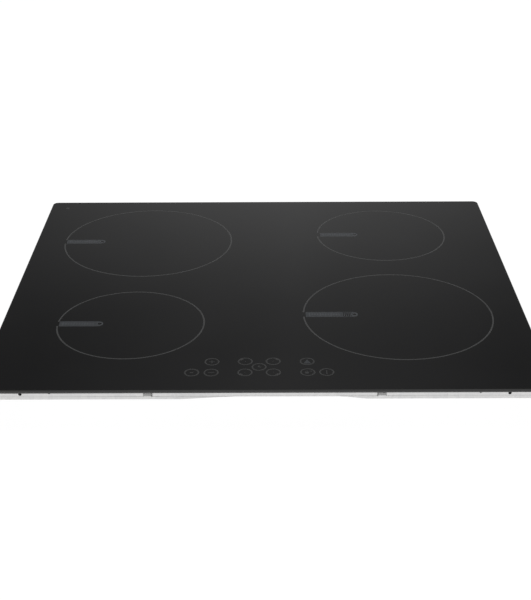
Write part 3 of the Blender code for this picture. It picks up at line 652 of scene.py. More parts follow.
# Materials that the record has no slot for take the slot of what they are part of
OTHER_SLOTS = {
    "ceramic_glass": (LINE_PRINT, KEY_PRINT, BAR_PRINT, TICK_PRINT),
    "galvanised_steel": (ZINC,),
    "grey_plastic": (BRASS,),
    "black_plastic": (CAN_SLEEVE, RELAY_CASE),
    "lead_insulation": (BROWN_SLEEVE, BLUE_SLEEVE, EARTH_SLEEVE),
}
SLOT_OF = {material.name: slot for slot, material in SLOT_MATERIALS.items()}
SLOT_OF.update({material.name: slot for slot, group in OTHER_SLOTS.items() for material in group})


def dress_frame():
    """Gives every CAD node its slot's material."""
    for part in frame["record"]["subparts"]:
        mesh = frame["nodes"][part["node"]].data
        mesh.materials.clear()
        mesh.materials.append(SLOT_MATERIALS[part["material_slot"]])


# Steelwork

SHEET = 0.001
BURR = 0.0002  # bevel on a cut edge of sheet
RIVET_Z = 0.0464
CLIP_X = 0.118
RIM_WINDOW = (0.04065, 0.009, 0.0047)  # z of the middle, width, height
RIM_HOLES = ((0.2468, 0.0418, 0.0017), (0.2174, 0.0430, 0.0011))  # distance from the middle, z, radius
RIM_ARCH = ((-0.089, -0.030), (0.105, 0.075))  # where each end of the raised edge starts and is full
RIM_ARCH_Z = 0.0388
TERMINAL_X = 0.165
INLET = (0.097, 0.219, 0.018)
HINGE = (0.2212, 0.0335)  # y and height of the cover's axis


def make_seal():
    low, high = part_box("worktop_seal")
    section = rounded((-0.006, low.z, 0, high.z), 0.0005, 4)
    strip = Shape().swept(plan(low, high), 0.0045, section, ring=True, steps=10)
    make_piece("foam_seal", strip, FOAM, "worktop_seal")


def make_rim():
    """The folded rim under the glass: its wall, the inward flange, and every hole in it."""
    low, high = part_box("support_frame")
    bend, fold = 0.0012, 0.0005
    flange, flange_z = 0.012, 0.0365
    crease, crease_depth = flange_z + 0.0026, 0.0002
    section = [
        (-flange, flange_z + SHEET),
        (-flange, flange_z),
        (-2 * SHEET, flange_z),
        *arc(-2 * SHEET + fold, low.z + fold, fold, 180, 270, 4),
        *arc(-fold, low.z + fold, fold, -90, 0, 4),
        (0, crease - 0.0005),
        (-crease_depth, crease),
        (0, crease + 0.0005),
        (0, high.z - BURR),
        (-BURR, high.z),
        (-SHEET + BURR, high.z),
        (-SHEET, high.z - BURR),
        *arc(-bend, flange_z + bend, bend - SHEET, 0, -90, 4),
    ]
    wall = Shape().swept(plan(low, high), 0.004, section, ring=True)
    rim = make_piece("folded_rim", wall, GALVANISED, "support_frame")

    holes = Shape()
    for y in (low.y, high.y):
        for side in (-1, 1):
            x = side * CLIP_X
            openings = [rounded(centred(x, *RIM_WINDOW), 0.0007, 3), circle(x, RIVET_Z, 0.0015, 20)]
            openings += [circle(side * offset, z, radius, 24) for offset, z, radius in RIM_HOLES]
            for opening in openings:
                holes.across(opening, y - 3 * SHEET, y + 3 * SHEET)
    carve(rim, holes)

    (left, left_full), (right, right_full) = RIM_ARCH
    below, above = low.z - SHEET, high.z + SHEET
    arch = [(left, below), (right, below), (right, low.z)]
    arch += [(right_full, RIM_ARCH_Z), (left_full, RIM_ARCH_Z), (left, low.z)]
    clearing = oblong(left, low.y + SHEET, right, low.y + flange + SHEET)
    seam = oblong(left - 0.0004, low.y - SHEET, left, low.y + 0.0006)
    carve(rim, Shape().across(arch, low.y - SHEET, low.y + SHEET))
    carve(rim, Shape().prism(clearing, below, flange_z + SHEET))
    carve(rim, Shape().prism(seam, below, above))


def make_tray():
    """The deep-drawn tray with its outward flange, vents, pressed ribs and hinge lugs."""
    low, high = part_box("base_tray")
    flange = 0.010
    foot, lip = 0.0022, 0.0016  # outer radii of the bends at the floor and at the flange
    top = high.z
    x0, y0, x1, y1 = grown(plan(low, high), -flange)
    centre = lip - SHEET
    section = [
        (-0.004, SHEET),
        *arc(-foot, foot, foot - SHEET, -90, 0, 5),
        *arc(centre, top - lip, lip, 180, 90, 5),
        (flange - BURR, top),
        (flange, top - BURR),
        (flange, top - SHEET + BURR),
        (flange - BURR, top - SHEET),
        *arc(centre, top - lip, lip - SHEET, 90, 180, 4),
        *arc(-foot, foot, foot, 0, -90, 6),
        (-0.004, 0.0),
    ]
    shell = Shape().swept((x0, y0, x1, y1), 0.006, section)
    tray = make_piece("drawn_tray", shell, GALVANISED, "base_tray")

    axis_y, axis_z = HINGE
    lugs, lug, lug_x = Shape(), 0.0025, 0.0445
    root = y1 - 0.0005
    for x in (TERMINAL_X - lug_x, TERMINAL_X + lug_x):
        outline = [(root, axis_z - lug), *arc(axis_y, axis_z, lug, -90, 90, 12), (root, axis_z + lug)]
        lugs.sideways(outline, x - SHEET, x + SHEET)
    carve(tray, lugs, "UNION")

    vents, slot, count, pitch = Shape(), 0.0035, 8, 0.008
    for i in range(count):
        x = (i - (count - 1) / 2) * pitch
        vents.prism(obround(*centred(x, 0.168, slot, 0.058)), -SHEET, 2 * SHEET)
        for group in (-0.075, 0.075):
            vents.across(obround(*centred(x + group, 0.019, slot, 0.018)), y0 - SHEET, y0 + 2 * SHEET)
    window = rounded(centred(TERMINAL_X, 0.018, 0.076, 0.024), 0.002, 5)
    vents.across(window, y1 - 0.003, y1 + 0.002)
    vents.across(circle(INLET[0], INLET[2], 0.009, 32), y1 - 0.003, y1 + 0.003)
    vents.sideways(circle(axis_y, axis_z, 0.0014, 16), TERMINAL_X - 0.047, TERMINAL_X + 0.047)
    carve(tray, vents)

    ribs, slope, depth = Shape(), 0.0012, 0.0006
    for x in (-0.125, 0.125):
        for row in range(8):
            outer = centred(x, -0.140 + 0.035 * row, 0.170, 0.010)
            foot_line, crest = obround(*outer, 8), obround(*grown(outer, -slope), 8)
            ribs.loft([at_height(foot_line, -0.0001), at_height(foot_line, 0.0), at_height(crest, depth)])
    carve(tray, ribs)


PAN_HEAD = ((0.0027, 0.0), (0.0027, 0.0005), (0.0025, 0.0011), (0.0019, 0.0015), (0.0011, 0.00165))


def make_screws(name, places, seat, up):
    """Pan heads with a cross recess, standing up (1) from their seat or hanging (-1) under it."""
    heads, recesses = Shape(), Shape()
    for x, y in places:
        heads.turned(x, y, [(radius, seat + up * height) for radius, height in PAN_HEAD], 28)
        cross = star(((0.0011, -0.0003), (0.0011, 0.0003), (0.0003, 0.0003)), 4, x, y)
        recesses.prism(cross, seat + up * 0.0009, seat + up * 0.0020)
    carve(make_piece(name, heads, ZINC), recesses)


def make_flange_screws():
    """The screws under the tray's flange that hold it to the support plate."""
    low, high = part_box("base_tray")
    x0, y0, x1, y1 = grown(plan(low, high), -0.0045)
    places = [(x, y) for x in (-0.200, -0.070, 0.070, 0.200) for y in (y0, y1)]
    places += [(x, y) for y in (-0.110, 0.020, 0.150) for x in (x0, x1)]
    make_screws("flange_screws", places, high.z - SHEET, -1)


def make_rating_plate():
    """Foil label on the right wall, with ruled fields and a bar pattern but no lettering."""
    low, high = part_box("rating_plate")
    foil = rounded((low.y, low.z, high.y, high.z), 0.0015, 5)
    make_piece("foil_label", Shape().sideways(foil, low.x, high.x - 0.00006), LABEL, "rating_plate")
    ink, near = Shape(), high.x - 0.0001
    for i in range(4):
        z = high.z - 0.0035 - 0.0038 * i
        ink.sideways(oblong(low.y + 0.003, z, low.y + 0.040 - 0.004 * (i % 2), z + 0.0009), near, high.x)
    for i in range(15):
        y, width = low.y + 0.046 + 0.0013 * i, 0.0004 if i % 3 else 0.0008
        ink.sideways(oblong(y, low.z + 0.004, y + width, low.z + 0.013), near, high.x)
    make_piece("label_ink", ink, BLACK_PLASTIC)


def make_cover():
    """The hinged terminal cover: a ribbed lid, a finger grip and the knuckle it swings on."""
    low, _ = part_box("terminal_cover")
    axis_y, axis_z = HINGE
    x0, x1 = TERMINAL_X - 0.043, TERMINAL_X + 0.043
    inner, outer, corner = low.y, low.y + 0.002, 0.003
    lid = [
        *arc(x0 + corner, low.z + corner, corner, 180, 270, 6),
        *arc(x1 - corner, low.z + corner, corner, 270, 360, 6),
        (x1, axis_z),
        (x0, axis_z),
    ]
    flap = Shape().across(lid, inner, outer)
    cover = make_piece("ribbed_cover", flap, BLACK_PLASTIC, "terminal_cover", "terminal_flap")

    panels = Shape()
    count, margin, rib = 11, 0.004, 0.0010
    pitch = (x1 - x0 - 2 * margin) / count
    for i in range(count):
        left = x0 + margin + i * pitch
        panel = rounded((left + rib, low.z + 0.0075, left + pitch - rib, axis_z - 0.0060), 0.0012, 4)
        panels.across(panel, outer - 0.0007, outer + SHEET)
    grip = obround(*centred(TERMINAL_X, low.z + 0.0034, 0.024, 0.0032))
    panels.across(grip, outer - 0.0009, outer + SHEET)
    chamfer = [
        (inner - SHEET, axis_z - 0.003),
        (inner, axis_z - 0.003),
        (inner + 0.0006, axis_z + SHEET),
        (inner - SHEET, axis_z + SHEET),
    ]
    panels.sideways(chamfer, x0 - SHEET, x1 + SHEET)
    carve(cover, panels)
    soften(cover, 0.00025)

    reach, pin, barrel = 0.0022, 0.0010, 0.0016
    half = [(barrel, x1), (pin, x1), (pin, x1 + reach - BURR), (pin - BURR, x1 + reach)]
    profile = [(radius, 2 * TERMINAL_X - x) for radius, x in half[::-1]] + half
    carve(cover, Shape().spun("X", (0, axis_y, axis_z), profile, 24), "UNION")


def make_bush():
    """Rubber bush for the mains lead, gripping the tray's sheet in its groove."""
    flange, waist, bore, play = 0.0115, 0.0087, 0.0055, 0.0003
    profile = [
        *arc(bore + 0.0008, -0.0047, 0.0008, 180, 270, 4),
        *arc(flange - 0.0015, -0.0040, 0.0015, -90, 0, 6),
        (flange, -SHEET - play),
        (waist, -SHEET - play),
        (waist, play),
        (flange, play),
        *arc(flange - 0.0020, 0.0025, 0.0020, 0, 90, 6),
        (0.0078, 0.0045),
        (0.0074, 0.0040),
        (0.0070, 0.0045),
        *arc(bore + 0.0006, 0.0039, 0.0006, 90, 180, 4),
        (bore, 0.0026),
        (bore + 0.0006, 0.0020),
        (bore, 0.0014),
        (bore, -0.0010),
        (bore + 0.0006, -0.0016),
        (bore, -0.0022),
    ]
    make_piece("lead_bush", Shape().spun("Y", INLET, profile, 64, ring=True), RUBBER, "cable_inlet")


def bent_strip(path, thickness, x, width, face, side):
    """A strip of sheet whose inner face follows a path of (distance out, height)."""
    sections = []
    for i, (out, z) in enumerate(path):
        along = direction(path, i)
        far = (out - along.y * thickness, z + along.x * thickness) if i else (thickness, z)
        section = []
        for (reach, height), turn in (((out, z), -1), ((out, z), 1), (far, 1), (far, -1)):
            section.append((x + turn * width / 2, side * (face + reach), height))
        sections.append(section)
    return Shape().loft(sections)


CLIP_SHEET, CLIP_WIDTH = 0.0006, 0.008
CLIP_BULGE = ((0.0, 0.0433), (0.0008, 0.0418), (0.0015, 0.0403), (0.0013, 0.0393), (0.0004, 0.0388))


def make_clip_leaf(name, x, face, side):
    """The leaf of a spring clip, which grips the cut-out and flexes into its window."""
    leaf = bent_strip(smooth_path(CLIP_BULGE), CLIP_SHEET, x, CLIP_WIDTH, face, side)
    body = f"spring_clip_{name}"
    soften(make_piece(f"clip_leaf_{name}", leaf, SPRING_STEEL, f"clip_{name}", body), 0.00008, 1)


def make_clip_foot(name, x, face, side):
    """The foot of a spring clip, and the rivet that holds it to the rim."""
    low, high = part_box(f"clip_foot_{name}")
    half, corner = CLIP_WIDTH / 2, 0.0015
    tab = [
        (x - half, low.z),
        (x + half, low.z),
        *arc(x + half - corner, high.z - corner, corner, 0, 90, 6),
        *arc(x - half + corner, high.z - corner, corner, 90, 180, 6),
    ]
    near, far = sorted((side * face, side * (face + CLIP_SHEET)))
    foot = Shape().across(tab, near, far)
    foot = make_piece(f"clip_tab_{name}", foot, SPRING_STEEL, f"clip_foot_{name}")

    tail, shank, head = -SHEET - 0.0006, 0.0012, 0.0019
    rivet = [(0.0010, tail - 0.0008), (0.0017, tail - 0.0006), (0.0020, tail - 0.0003), (0.0020, tail)]
    rivet += [(shank, tail), (shank, CLIP_SHEET / 2), (head, CLIP_SHEET / 2)]
    rivet += [(head * math.cos(a), CLIP_SHEET + 0.0010 * math.sin(a)) for a in (0.1, 0.4, 0.7, 1.0, 1.3)]
    profile = [(radius, side * out) for radius, out in rivet]
    carve(foot, Shape().spun("Y", (x, side * face, RIVET_Z), profile, 24), "UNION")


def make_clips():
    for row, side in (("front", -1), ("rear", 1)):
        for hand in ("left", "right"):
            name = f"{row}_{hand}"
            low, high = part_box(f"clip_{name}")
            x, face = (low.x + high.x) / 2, min(abs(low.y), abs(high.y))
            make_clip_leaf(name, x, face, side)
            make_clip_foot(name, x, face, side)


# Works inside the tray

POLES = 6
BOARD_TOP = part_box("power_board_left")[1].z
DECK = BOARD_TOP + 0.0001  # where the parts stand on the power boards
# Places on the right board, mirrored for the left one
TRANSISTOR_YS = (-0.078, -0.026, 0.026, 0.078)
ELECTROLYTICS = (  # x, y, radius, height
    (0.125, 0.034, 0.009, 0.024),
    (0.147, 0.034, 0.009, 0.024),
    (0.122, -0.010, 0.005, 0.013),
    (0.136, -0.010, 0.005, 0.013),
    (0.160, 0.000, 0.004, 0.011),
)
RELAYS = ((0.186, -0.040), (0.186, -0.062), (0.206, -0.040), (0.206, -0.062))
TRANSFORMER = (0.152, -0.030)
HEADERS = (  # x, y, pins
    (0.070, -0.108, 6),
    (0.110, -0.108, 4),
    (0.160, -0.108, 3),
    (0.075, 0.106, 3),
    (0.165, 0.104, 5),
)
CHIPS = (  # x, y, legs
    (0.066, -0.080, 8),
    (0.086, -0.080, 8),
    (0.112, -0.060, 14),
    (0.074, 0.078, 8),
    (0.112, 0.078, 10),
)
RESISTORS = (  # middle of each group
    (0.060, -0.066),
    (0.098, -0.088),
    (0.120, -0.040),
    (0.120, 0.062),
    (0.160, -0.086),
    (0.196, 0.062),
)


def make_terminals():
    """Six-pole terminal block with brass clamps and screws."""
    low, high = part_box("terminal_block")
    step, ledge, screw_y, mouth_z = low.y + 0.013, 0.012, high.y - 0.0058, 0.018
    outline = [(low.y, low.z), (high.y, low.z), (high.y, ledge)]
    outline += [(step, ledge), (step, high.z), (low.y, high.z)]
    body = Shape().sideways(outline, low.x, high.x)
    block = make_piece("terminal_body", body, GREY_PLASTIC, "terminal_block")
    head = [(0.0028, 0.0082), (0.0028, 0.0100), (0.0025, 0.0106), (0.0016, 0.0109)]
    wells, clamps, screws, slots = (Shape() for _ in range(4))
    for i in range(POLES):
        x = low.x + (i + 0.5) * (high.x - low.x) / POLES
        mouth = centred(x, mouth_z, 0.0076, 0.0060)
        wells.across(rounded(mouth, 0.0009, 4), step - 0.006, step + 0.002)
        wells.prism(circle(x, screw_y, 0.0034, 24), 0.0080, 0.0140)
        clamps.across(rounded(grown(mouth, -0.0005), 0.0006, 3), step - 0.0055, step - 0.0020)
        screws.turned(x, screw_y, head, 24)
        slot = rotated(oblong(-0.003, -0.0004, 0.003, 0.0004), x, screw_y, 25 + 40 * i)
        slots.prism(slot, 0.0099, 0.0120)
    carve(block, wells)
    soften(block, 0.0003)
    make_piece("terminal_clamps", clamps, BRASS)
    carve(make_piece("terminal_screws", screws, BRASS), slots)


def stand(shape, x, y, size, heights, corner, steps=1):
    """Stands a block of (width, depth) about x, y on a power board, between two heights over its deck."""
    shape.prism(rounded(centred(x, y, *size), corner, steps), DECK + heights[0], DECK + heights[1])


def make_transistors(hand, side):
    """Power transistors screwed to the outer fin of the heat sink, on three legs each."""
    near = max(abs(corner.x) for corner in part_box(f"heat_sink_{hand}")) + 0.0002
    low, high, tab, front = DECK + 0.0040, DECK + 0.0240, near + 0.0040, near + 0.0048
    case = [(near, low), (front, low), (front, high - 0.0045)]
    case += [(tab, high - 0.0040), (tab, high), (near, high)]
    screw = ((0.0030, 0.0), (0.0030, 0.0012), (0.0022, 0.0019))
    cases, legs = Shape(), Shape()
    for y in TRANSISTOR_YS:
        cases.across([(side * x, z) for x, z in case], y - 0.0079, y + 0.0079)
        for leg in (-0.0054, 0.0, 0.0054):
            stand(legs, side * (near + 0.0026), y + leg, (0.0006, 0.0012), (0, 0.0040), 0.0001)
        profile = [(radius, side * (tab + out)) for radius, out in screw]
        legs.spun("X", (0, y, high - 0.0060), profile, 20)
    soften(make_piece(f"transistors_{hand}", cases, BLACK_PLASTIC), 0.0003)
    make_piece(f"transistor_legs_{hand}", legs, ZINC)


def make_electrolytics(hand, side):
    """Round capacitors: shrunk sleeve over a can whose top is scored as a vent."""
    sleeves, cans, scores = Shape(), Shape(), Shape()
    score = 0.00015  # half of a score's width
    for x, y, radius, height in ELECTROLYTICS:
        x *= side
        top = DECK + height
        groove = top - 0.0022
        sleeve = [
            (radius - 0.0006, DECK),
            (radius, DECK + 0.0006),
            (radius, groove - 0.0009),
            (radius - 0.0005, groove),
            (radius, groove + 0.0009),
            (radius, top - 0.0005),
            (radius - 0.0005, top),
            (radius - 0.0012, top),
        ]
        sleeves.turned(x, y, sleeve, 40)
        cans.turned(x, y, [(radius - 0.0014, top - 0.0010), (radius - 0.0014, top + 0.0001)], 40)
        tip = radius * 0.62
        arm = [(tip, -score), (tip, score), *rotated([(2 * score, 0.0)], 0, 0, 30)]
        scores.prism(star(arm, 6, x, y), top - 0.0002, top + 0.0003)
    make_piece(f"electrolytics_{hand}", sleeves, CAN_SLEEVE)
    carve(make_piece(f"electrolytic_lids_{hand}", cans, ALUMINIUM), scores)


def make_relays(hand, side):
    relays = Shape()
    for x, y in RELAYS:
        stand(relays, side * x, y, (0.0155, 0.0190), (0.0003, 0.0150), 0.0006, 3)
    soften(make_piece(f"relays_{hand}", relays, RELAY_CASE), 0.0004)


def make_transformer(hand, side):
    """Pulse transformer: a taped winding on a foot, inside a ferrite yoke."""
    x, y = side * TRANSFORMER[0], TRANSFORMER[1]
    core, tape = Shape(), Shape()
    stand(core, x, y, (0.0220, 0.0060), (0.0010, 0.0180), 0.0003, 2)
    stand(core, x, y, (0.0200, 0.0230), (0, 0.0026), 0.0004, 2)
    stand(tape, x, y, (0.0150, 0.0190), (0.0030, 0.0160), 0.0030, 5)
    make_piece(f"transformer_core_{hand}", core, FERRITE)
    soften(make_piece(f"transformer_winding_{hand}", tape, CAPACITOR), 0.0005)


def add_header(headers, pins, x, y, count):
    """A walled plug header with one row of pins."""
    pitch, wall, height = 0.0025, 0.0008, 0.0070
    outer = centred(x, y, count * pitch + 0.0012, 0.0058)
    headers.swept(outer, 0.0004, oblong(-wall, DECK, 0, DECK + height), ring=True, steps=2)
    headers.prism(rounded(grown(outer, -0.0007), 0.0003, 2), DECK, DECK + 0.0012)
    for i in range(count):
        stand(pins, x + (i - (count - 1) / 2) * pitch, y, (0.0006, 0.0006), (0.0011, 0.0062), 0.0001)


def add_chip(chips, pins, x, y, legs):
    """A chip with its legs along its two long sides."""
    pitch, reach = 0.00127, 0.0025
    length = legs / 2 * pitch
    stand(chips, x, y, (length, 0.0040), (0.0002, 0.0018), 0.0002, 2)
    for i in range(legs // 2):
        leg_x = x + (i + 0.5) * pitch - length / 2
        for row in (y - reach, y + reach):
            stand(pins, leg_x, row, (0.0004, 0.0012), (0, 0.0009), 0.00005)


def add_resistors(chips, pins, x, y):
    """Two rows of six chip resistors, each with its two solder ends."""
    for i in range(12):
        column, row = x + (i % 6 - 2.5) * 0.0026, y + (i // 6) * 0.0052
        stand(chips, column, row, (0.0016, 0.0022), (0, 0.0006), 0.0001)
        for reach in (-0.0014, 0.0014):
            stand(pins, column, row + reach, (0.0016, 0.0006), (0, 0.0006), 0.0001)


def make_small_parts(hand, side):
    headers, pins, chips = Shape(), Shape(), Shape()
    for x, y, count in HEADERS:
        add_header(headers, pins, side * x, y, count)
    for x, y, legs in CHIPS:
        add_chip(chips, pins, side * x, y, legs)
    for x, y in RESISTORS:
        add_resistors(chips, pins, side * x, y)
    make_piece(f"plug_headers_{hand}", headers, SILICONE)
    make_piece(f"header_pins_{hand}", pins, ZINC)
    make_piece(f"chips_{hand}", chips, BLACK_PLASTIC)


def make_film_capacitors(hand):
    """Three moulded film capacitors in a row on each power board."""
    low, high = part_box(f"capacitors_{hand}")
    count, space = 3, 0.004
    pitch = (high.y - low.y + space) / count
    row = Shape()
    for i in range(count):
        y = low.y + i * pitch
        row.prism(rounded((low.x + 0.001, y, high.x - 0.001, y + pitch - space), 0.0012, 4), low.z, high.z)
    soften(make_piece(f"film_capacitors_{hand}", row, CAPACITOR, f"capacitors_{hand}"), 0.0009, 3)


def make_choke():
    """Common-mode choke: a coated ring core with two windings of single wires."""
    low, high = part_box("filter_choke")
    centre = (low + high) / 2
    wire, ring = 0.0006, 0.0140
    wide, tall = high.x - centre.x - ring - wire, high.z - centre.z - wire
    section = rounded((-wide + wire, -tall + wire, wide - wire, tall - wire), 0.0014, 4)
    profile = [(ring + u, centre.z + v) for u, v in section]
    make_piece("choke_core", Shape().turned(centre.x, centre.y, profile, 64, ring=True), FERRITE)
    turns, per_turn, spread = 13, 14, 150
    count = turns * per_turn
    winding = Shape()
    for start in (-75, 105):
        path = []
        for i in range(count + 1):
            angle = math.radians(start + spread * i / count)
            lap = CIRCLE * i / per_turn
            reach = ring + wide * math.cos(lap)
            x, y = centre.x + reach * math.cos(angle), centre.y + reach * math.sin(angle)
            path.append((x, y, centre.z + tall * math.sin(lap)))
        winding.wire(path, wire)
    make_piece("choke_winding", winding, WIRE, "filter_choke")


BARS_PER_COIL = 8
CARRIER_FLOOR = 0.0020


def make_coil_piece(kind, zone, node, shape, material, angle=SMOOTH_ANGLE):
    """A piece that rides with the coil of a zone, in place of the zone's own node."""
    return make_piece(f"{kind}_{zone}", shape, material, f"{node}_{zone}", f"coil_{zone}", angle=angle)


def make_winding(zone):
    """A coil's turns of twisted wire, laid side by side."""
    x, y, _ = ZONES[zone]
    low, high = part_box(f"coil_winding_{zone}")
    bore, outer = 0.020, (high.x - low.x) / 2
    middle, half = (low.z + high.z) / 2, (high.z - low.z) / 2
    turns = round((outer - bore) / (2 * half))
    pitch = (outer - bore) / turns
    waist = half * 0.45
    top = []
    for i in range(turns):
        centre = bore + (i + 0.5) * pitch
        for share in (-0.5, -0.36, -0.2, 0.0, 0.2, 0.36):
            reach = waist + (half - waist) * math.sqrt(max(0.0, 1 - (2 * share) ** 2))
            top.append((centre + share * pitch, reach))
    top.append((outer, waist))
    profile = [(radius, middle - reach) for radius, reach in top]
    profile += [(radius, middle + reach) for radius, reach in top[::-1]]
    turned = Shape().turned(x, y, profile, 96, ring=True)
    make_coil_piece("wound_coil", zone, "coil_winding", turned, WIRE, 50)


def make_mica(zone):
    x, y, _ = ZONES[zone]
    low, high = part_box(f"mica_sheet_{zone}")
    outer, bore, burr = (high.x - low.x) / 2, 0.010, 0.0001
    profile = [
        (bore, low.z),
        (outer - burr, low.z),
        (outer, low.z + burr),
        (outer, high.z - burr),
        (outer - burr, high.z),
        (bore, high.z),
    ]
    disc = Shape().turned(x, y, profile, 96, ring=True)
    make_coil_piece("mica_disc", zone, "mica_sheet", disc, MICA)


def make_carrier(zone):
    """The dish that carries a winding, with a window between each pair of ferrite bars."""
    x, y, _ = ZONES[zone]
    low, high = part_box(f"coil_carrier_{zone}")
    outer, hole, lip, bend = (high.x - low.x) / 2, 0.006, 0.0020, 0.0006
    floor_top = low.z + CARRIER_FLOOR
    profile = [
        (hole, low.z),
        *arc(outer - bend, low.z + bend, bend, -90, 0, 4),
        *arc(outer - bend, high.z - bend, bend, 0, 90, 4),
        *arc(outer - lip + bend, high.z - bend, bend, 90, 180, 4),
        *arc(outer - lip - bend, floor_top + bend, bend, 0, -90, 4),
        (hole, floor_top),
    ]
    dish = Shape().turned(x, y, profile, 96, ring=True)
    carrier = make_coil_piece("carrier_dish", zone, "coil_carrier", dish, BLACK_PLASTIC)
    windows = Shape()
    step = 360 / BARS_PER_COIL
    for i in range(BARS_PER_COIL):
        start, end = (i + 0.22) * step, (i + 0.78) * step
        sector = arc(x, y, outer - 0.016, start, end, 8) + arc(x, y, 0.032, end, start, 8)
        windows.prism(sector, low.z - SHEET, floor_top + 0.0001)
    carve(carrier, windows)


def make_ferrites(zone):
    x, y, _ = ZONES[zone]
    low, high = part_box(f"ferrite_star_{zone}")
    near, far, half = 0.0170, (high.x - low.x) / 2, 0.004
    outline = rounded((near, -half, far, half), 0.0008, 3)
    bars = Shape()
    for i in range(BARS_PER_COIL):
        bars.prism(rotated(outline, x, y, i * 360 / BARS_PER_COIL), low.z, high.z)
    soften(make_coil_piece("ferrite_bars", zone, "ferrite_star", bars, FERRITE), 0.0003)


def make_sensor(zone):
    """The silicone cup round the temperature sensor, with a flange that rests on the carrier's floor."""
    x, y, _ = ZONES[zone]
    low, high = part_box(f"temp_sensor_{zone}")
    flange, neck, bevel, fillet = (high.x - low.x) / 2, 0.0050, 0.0003, 0.0004
    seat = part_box(f"coil_carrier_{zone}")[0].z + CARRIER_FLOOR + 0.0003
    shoulder = seat + 0.0012
    profile = [
        (neck - fillet, low.z),
        (neck, low.z + fillet),
        (neck, seat),
        (flange - bevel, seat),
        (flange, seat + bevel),
        (flange, shoulder - bevel),
        (flange - bevel, shoulder),
        (neck + fillet, shoulder),
        (neck, shoulder + fillet),
        *arc(neck - 0.0010, high.z - 0.0010, 0.0010, 0, 90, 5),
        (0.0012, high.z),
        (0.0009, high.z - bevel),
    ]
    cup = Shape().turned(x, y, profile, 48)
    make_coil_piece("sensor_cup", zone, "temp_sensor", cup, SILICONE)


SPRINGS = {}


def make_spring(zone):
    """The pressure spring under a coil."""
    low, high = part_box(f"coil_spring_{zone}")
    wire, laps = 0.0005, 2.5
    reach = (high.x - low.x) / 2 - wire
    path = helix((low.x + high.x) / 2, ZONES[zone][1], reach, low.z + wire, high.z - wire, laps, 90)
    coil = Shape().wire(path, wire)
    SPRINGS[zone] = make_piece(f"wound_spring_{zone}", coil, SPRING_STEEL, f"coil_spring_{zone}")


def make_lead(zone):
    """A coil's twisted pair of leads."""
    low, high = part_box(f"coil_lead_{zone}")
    radius, twists = (high.x - low.x) / 4, 3.0
    x, y, bow = (low.x + high.x) / 2, low.y + 2 * radius, high.y - low.y - 4 * radius
    pair = Shape()
    for start in (0, math.pi):
        path = helix(x, y, radius, low.z, high.z, twists, 48, start, bow)
        pair.wire(path, radius * 0.96, 10)
    make_piece(f"twisted_lead_{zone}", pair, SLEEVE, f"coil_lead_{zone}")


def press_springs():
    """Gives each spring a mesh of its own."""
    for zone, spring in SPRINGS.items():
        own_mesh(spring)


def make_board_screws():
    """The screws that hold the two power boards to the posts under them."""
    places = []
    for hand in ("left", "right"):
        low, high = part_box(f"power_board_{hand}")
        columns, rows = (low.x + 0.008, high.x - 0.008), (low.y + 0.008, high.y - 0.012)
        places += [(x, y) for x in columns for y in rows]
    make_screws("board_screws", places, DECK, 1)


def make_mains_leads():
    """Single leads from the terminal block to the right power board's header."""
    low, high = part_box("terminal_block")
    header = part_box("power_board_right")[1].y - 0.0125
    colours = (BROWN_SLEEVE, BROWN_SLEEVE, BLUE_SLEEVE, BLUE_SLEEVE, EARTH_SLEEVE)
    for i, material in enumerate(colours):
        start = low.x + (i + 0.5) * (high.x - low.x) / POLES
        end = HEADERS[-1][0] + (i - 2) * 0.0025
        crest = 0.0235 - 0.0012 * abs(i - 2)
        points = (
            (start, low.y - 0.0002, 0.0180),
            (start, low.y - 0.0080, 0.0195),
            (start * 0.7 + end * 0.3, low.y - 0.0250, crest),
            (start * 0.2 + end * 0.8, low.y - 0.0550, crest),
            (end, header, 0.0200),
            (end, header - 0.0005, DECK + 0.0050),
        )
        make_piece(f"mains_lead_{i + 1}", Shape().wire(smooth_path(points, 8), 0.0011, 10), material)


def make_ribbon():
    """Flat cable from the controls down to the right power board, ridged over each of its cores."""
    width, shift, cores = 0.020, 0.0155, 12
    leaves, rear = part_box("control_board")[0].z + 0.0004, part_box("control_board")[1].y + 0.0003
    lands, board = BOARD_TOP + 0.0007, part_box("power_board_right")[0].y
    points = (
        (rear, leaves),
        (-0.1760, leaves),
        (-0.1730, leaves - 0.0020),
        (-0.1720, leaves - 0.0050),
        (-0.1720, 0.0160),
        (-0.1690, 0.0125),
        (-0.1620, 0.0115),
        (board - 0.008, 0.0100),
        (board + 0.004, lands),
        (board + 0.012, lands),
    )
    path = smooth_path(points, 6)
    start, end = -0.169, board - 0.008  # where it moves sideways by shift
    sections = []
    for i, (y, z) in enumerate(path):
        along = direction(path, i)
        middle = shift * min(max((y - start) / (end - start), 0.0), 1.0)
        upper, lower = [], []
        for step in range(4 * cores + 1):
            u = step / (4 * cores)
            half = 0.00020 + 0.00020 * abs(math.sin(math.pi * cores * u))
            x = middle + width * (u - 0.5)
            upper.append((x, y - along.y * half, z + along.x * half))
            lower.append((x, y + along.y * half, z - along.x * half))
        sections.append(upper + lower[::-1])
    make_piece("ridged_ribbon", Shape().loft(sections), GREY_PLASTIC, "ribbon_cable", angle=60)


MOTOR_LOW, MOTOR_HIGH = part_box("fan_motor")
FAN_X, FAN_Y = (MOTOR_LOW.x + MOTOR_HIGH.x) / 2, (MOTOR_LOW.y + MOTOR_HIGH.y) / 2


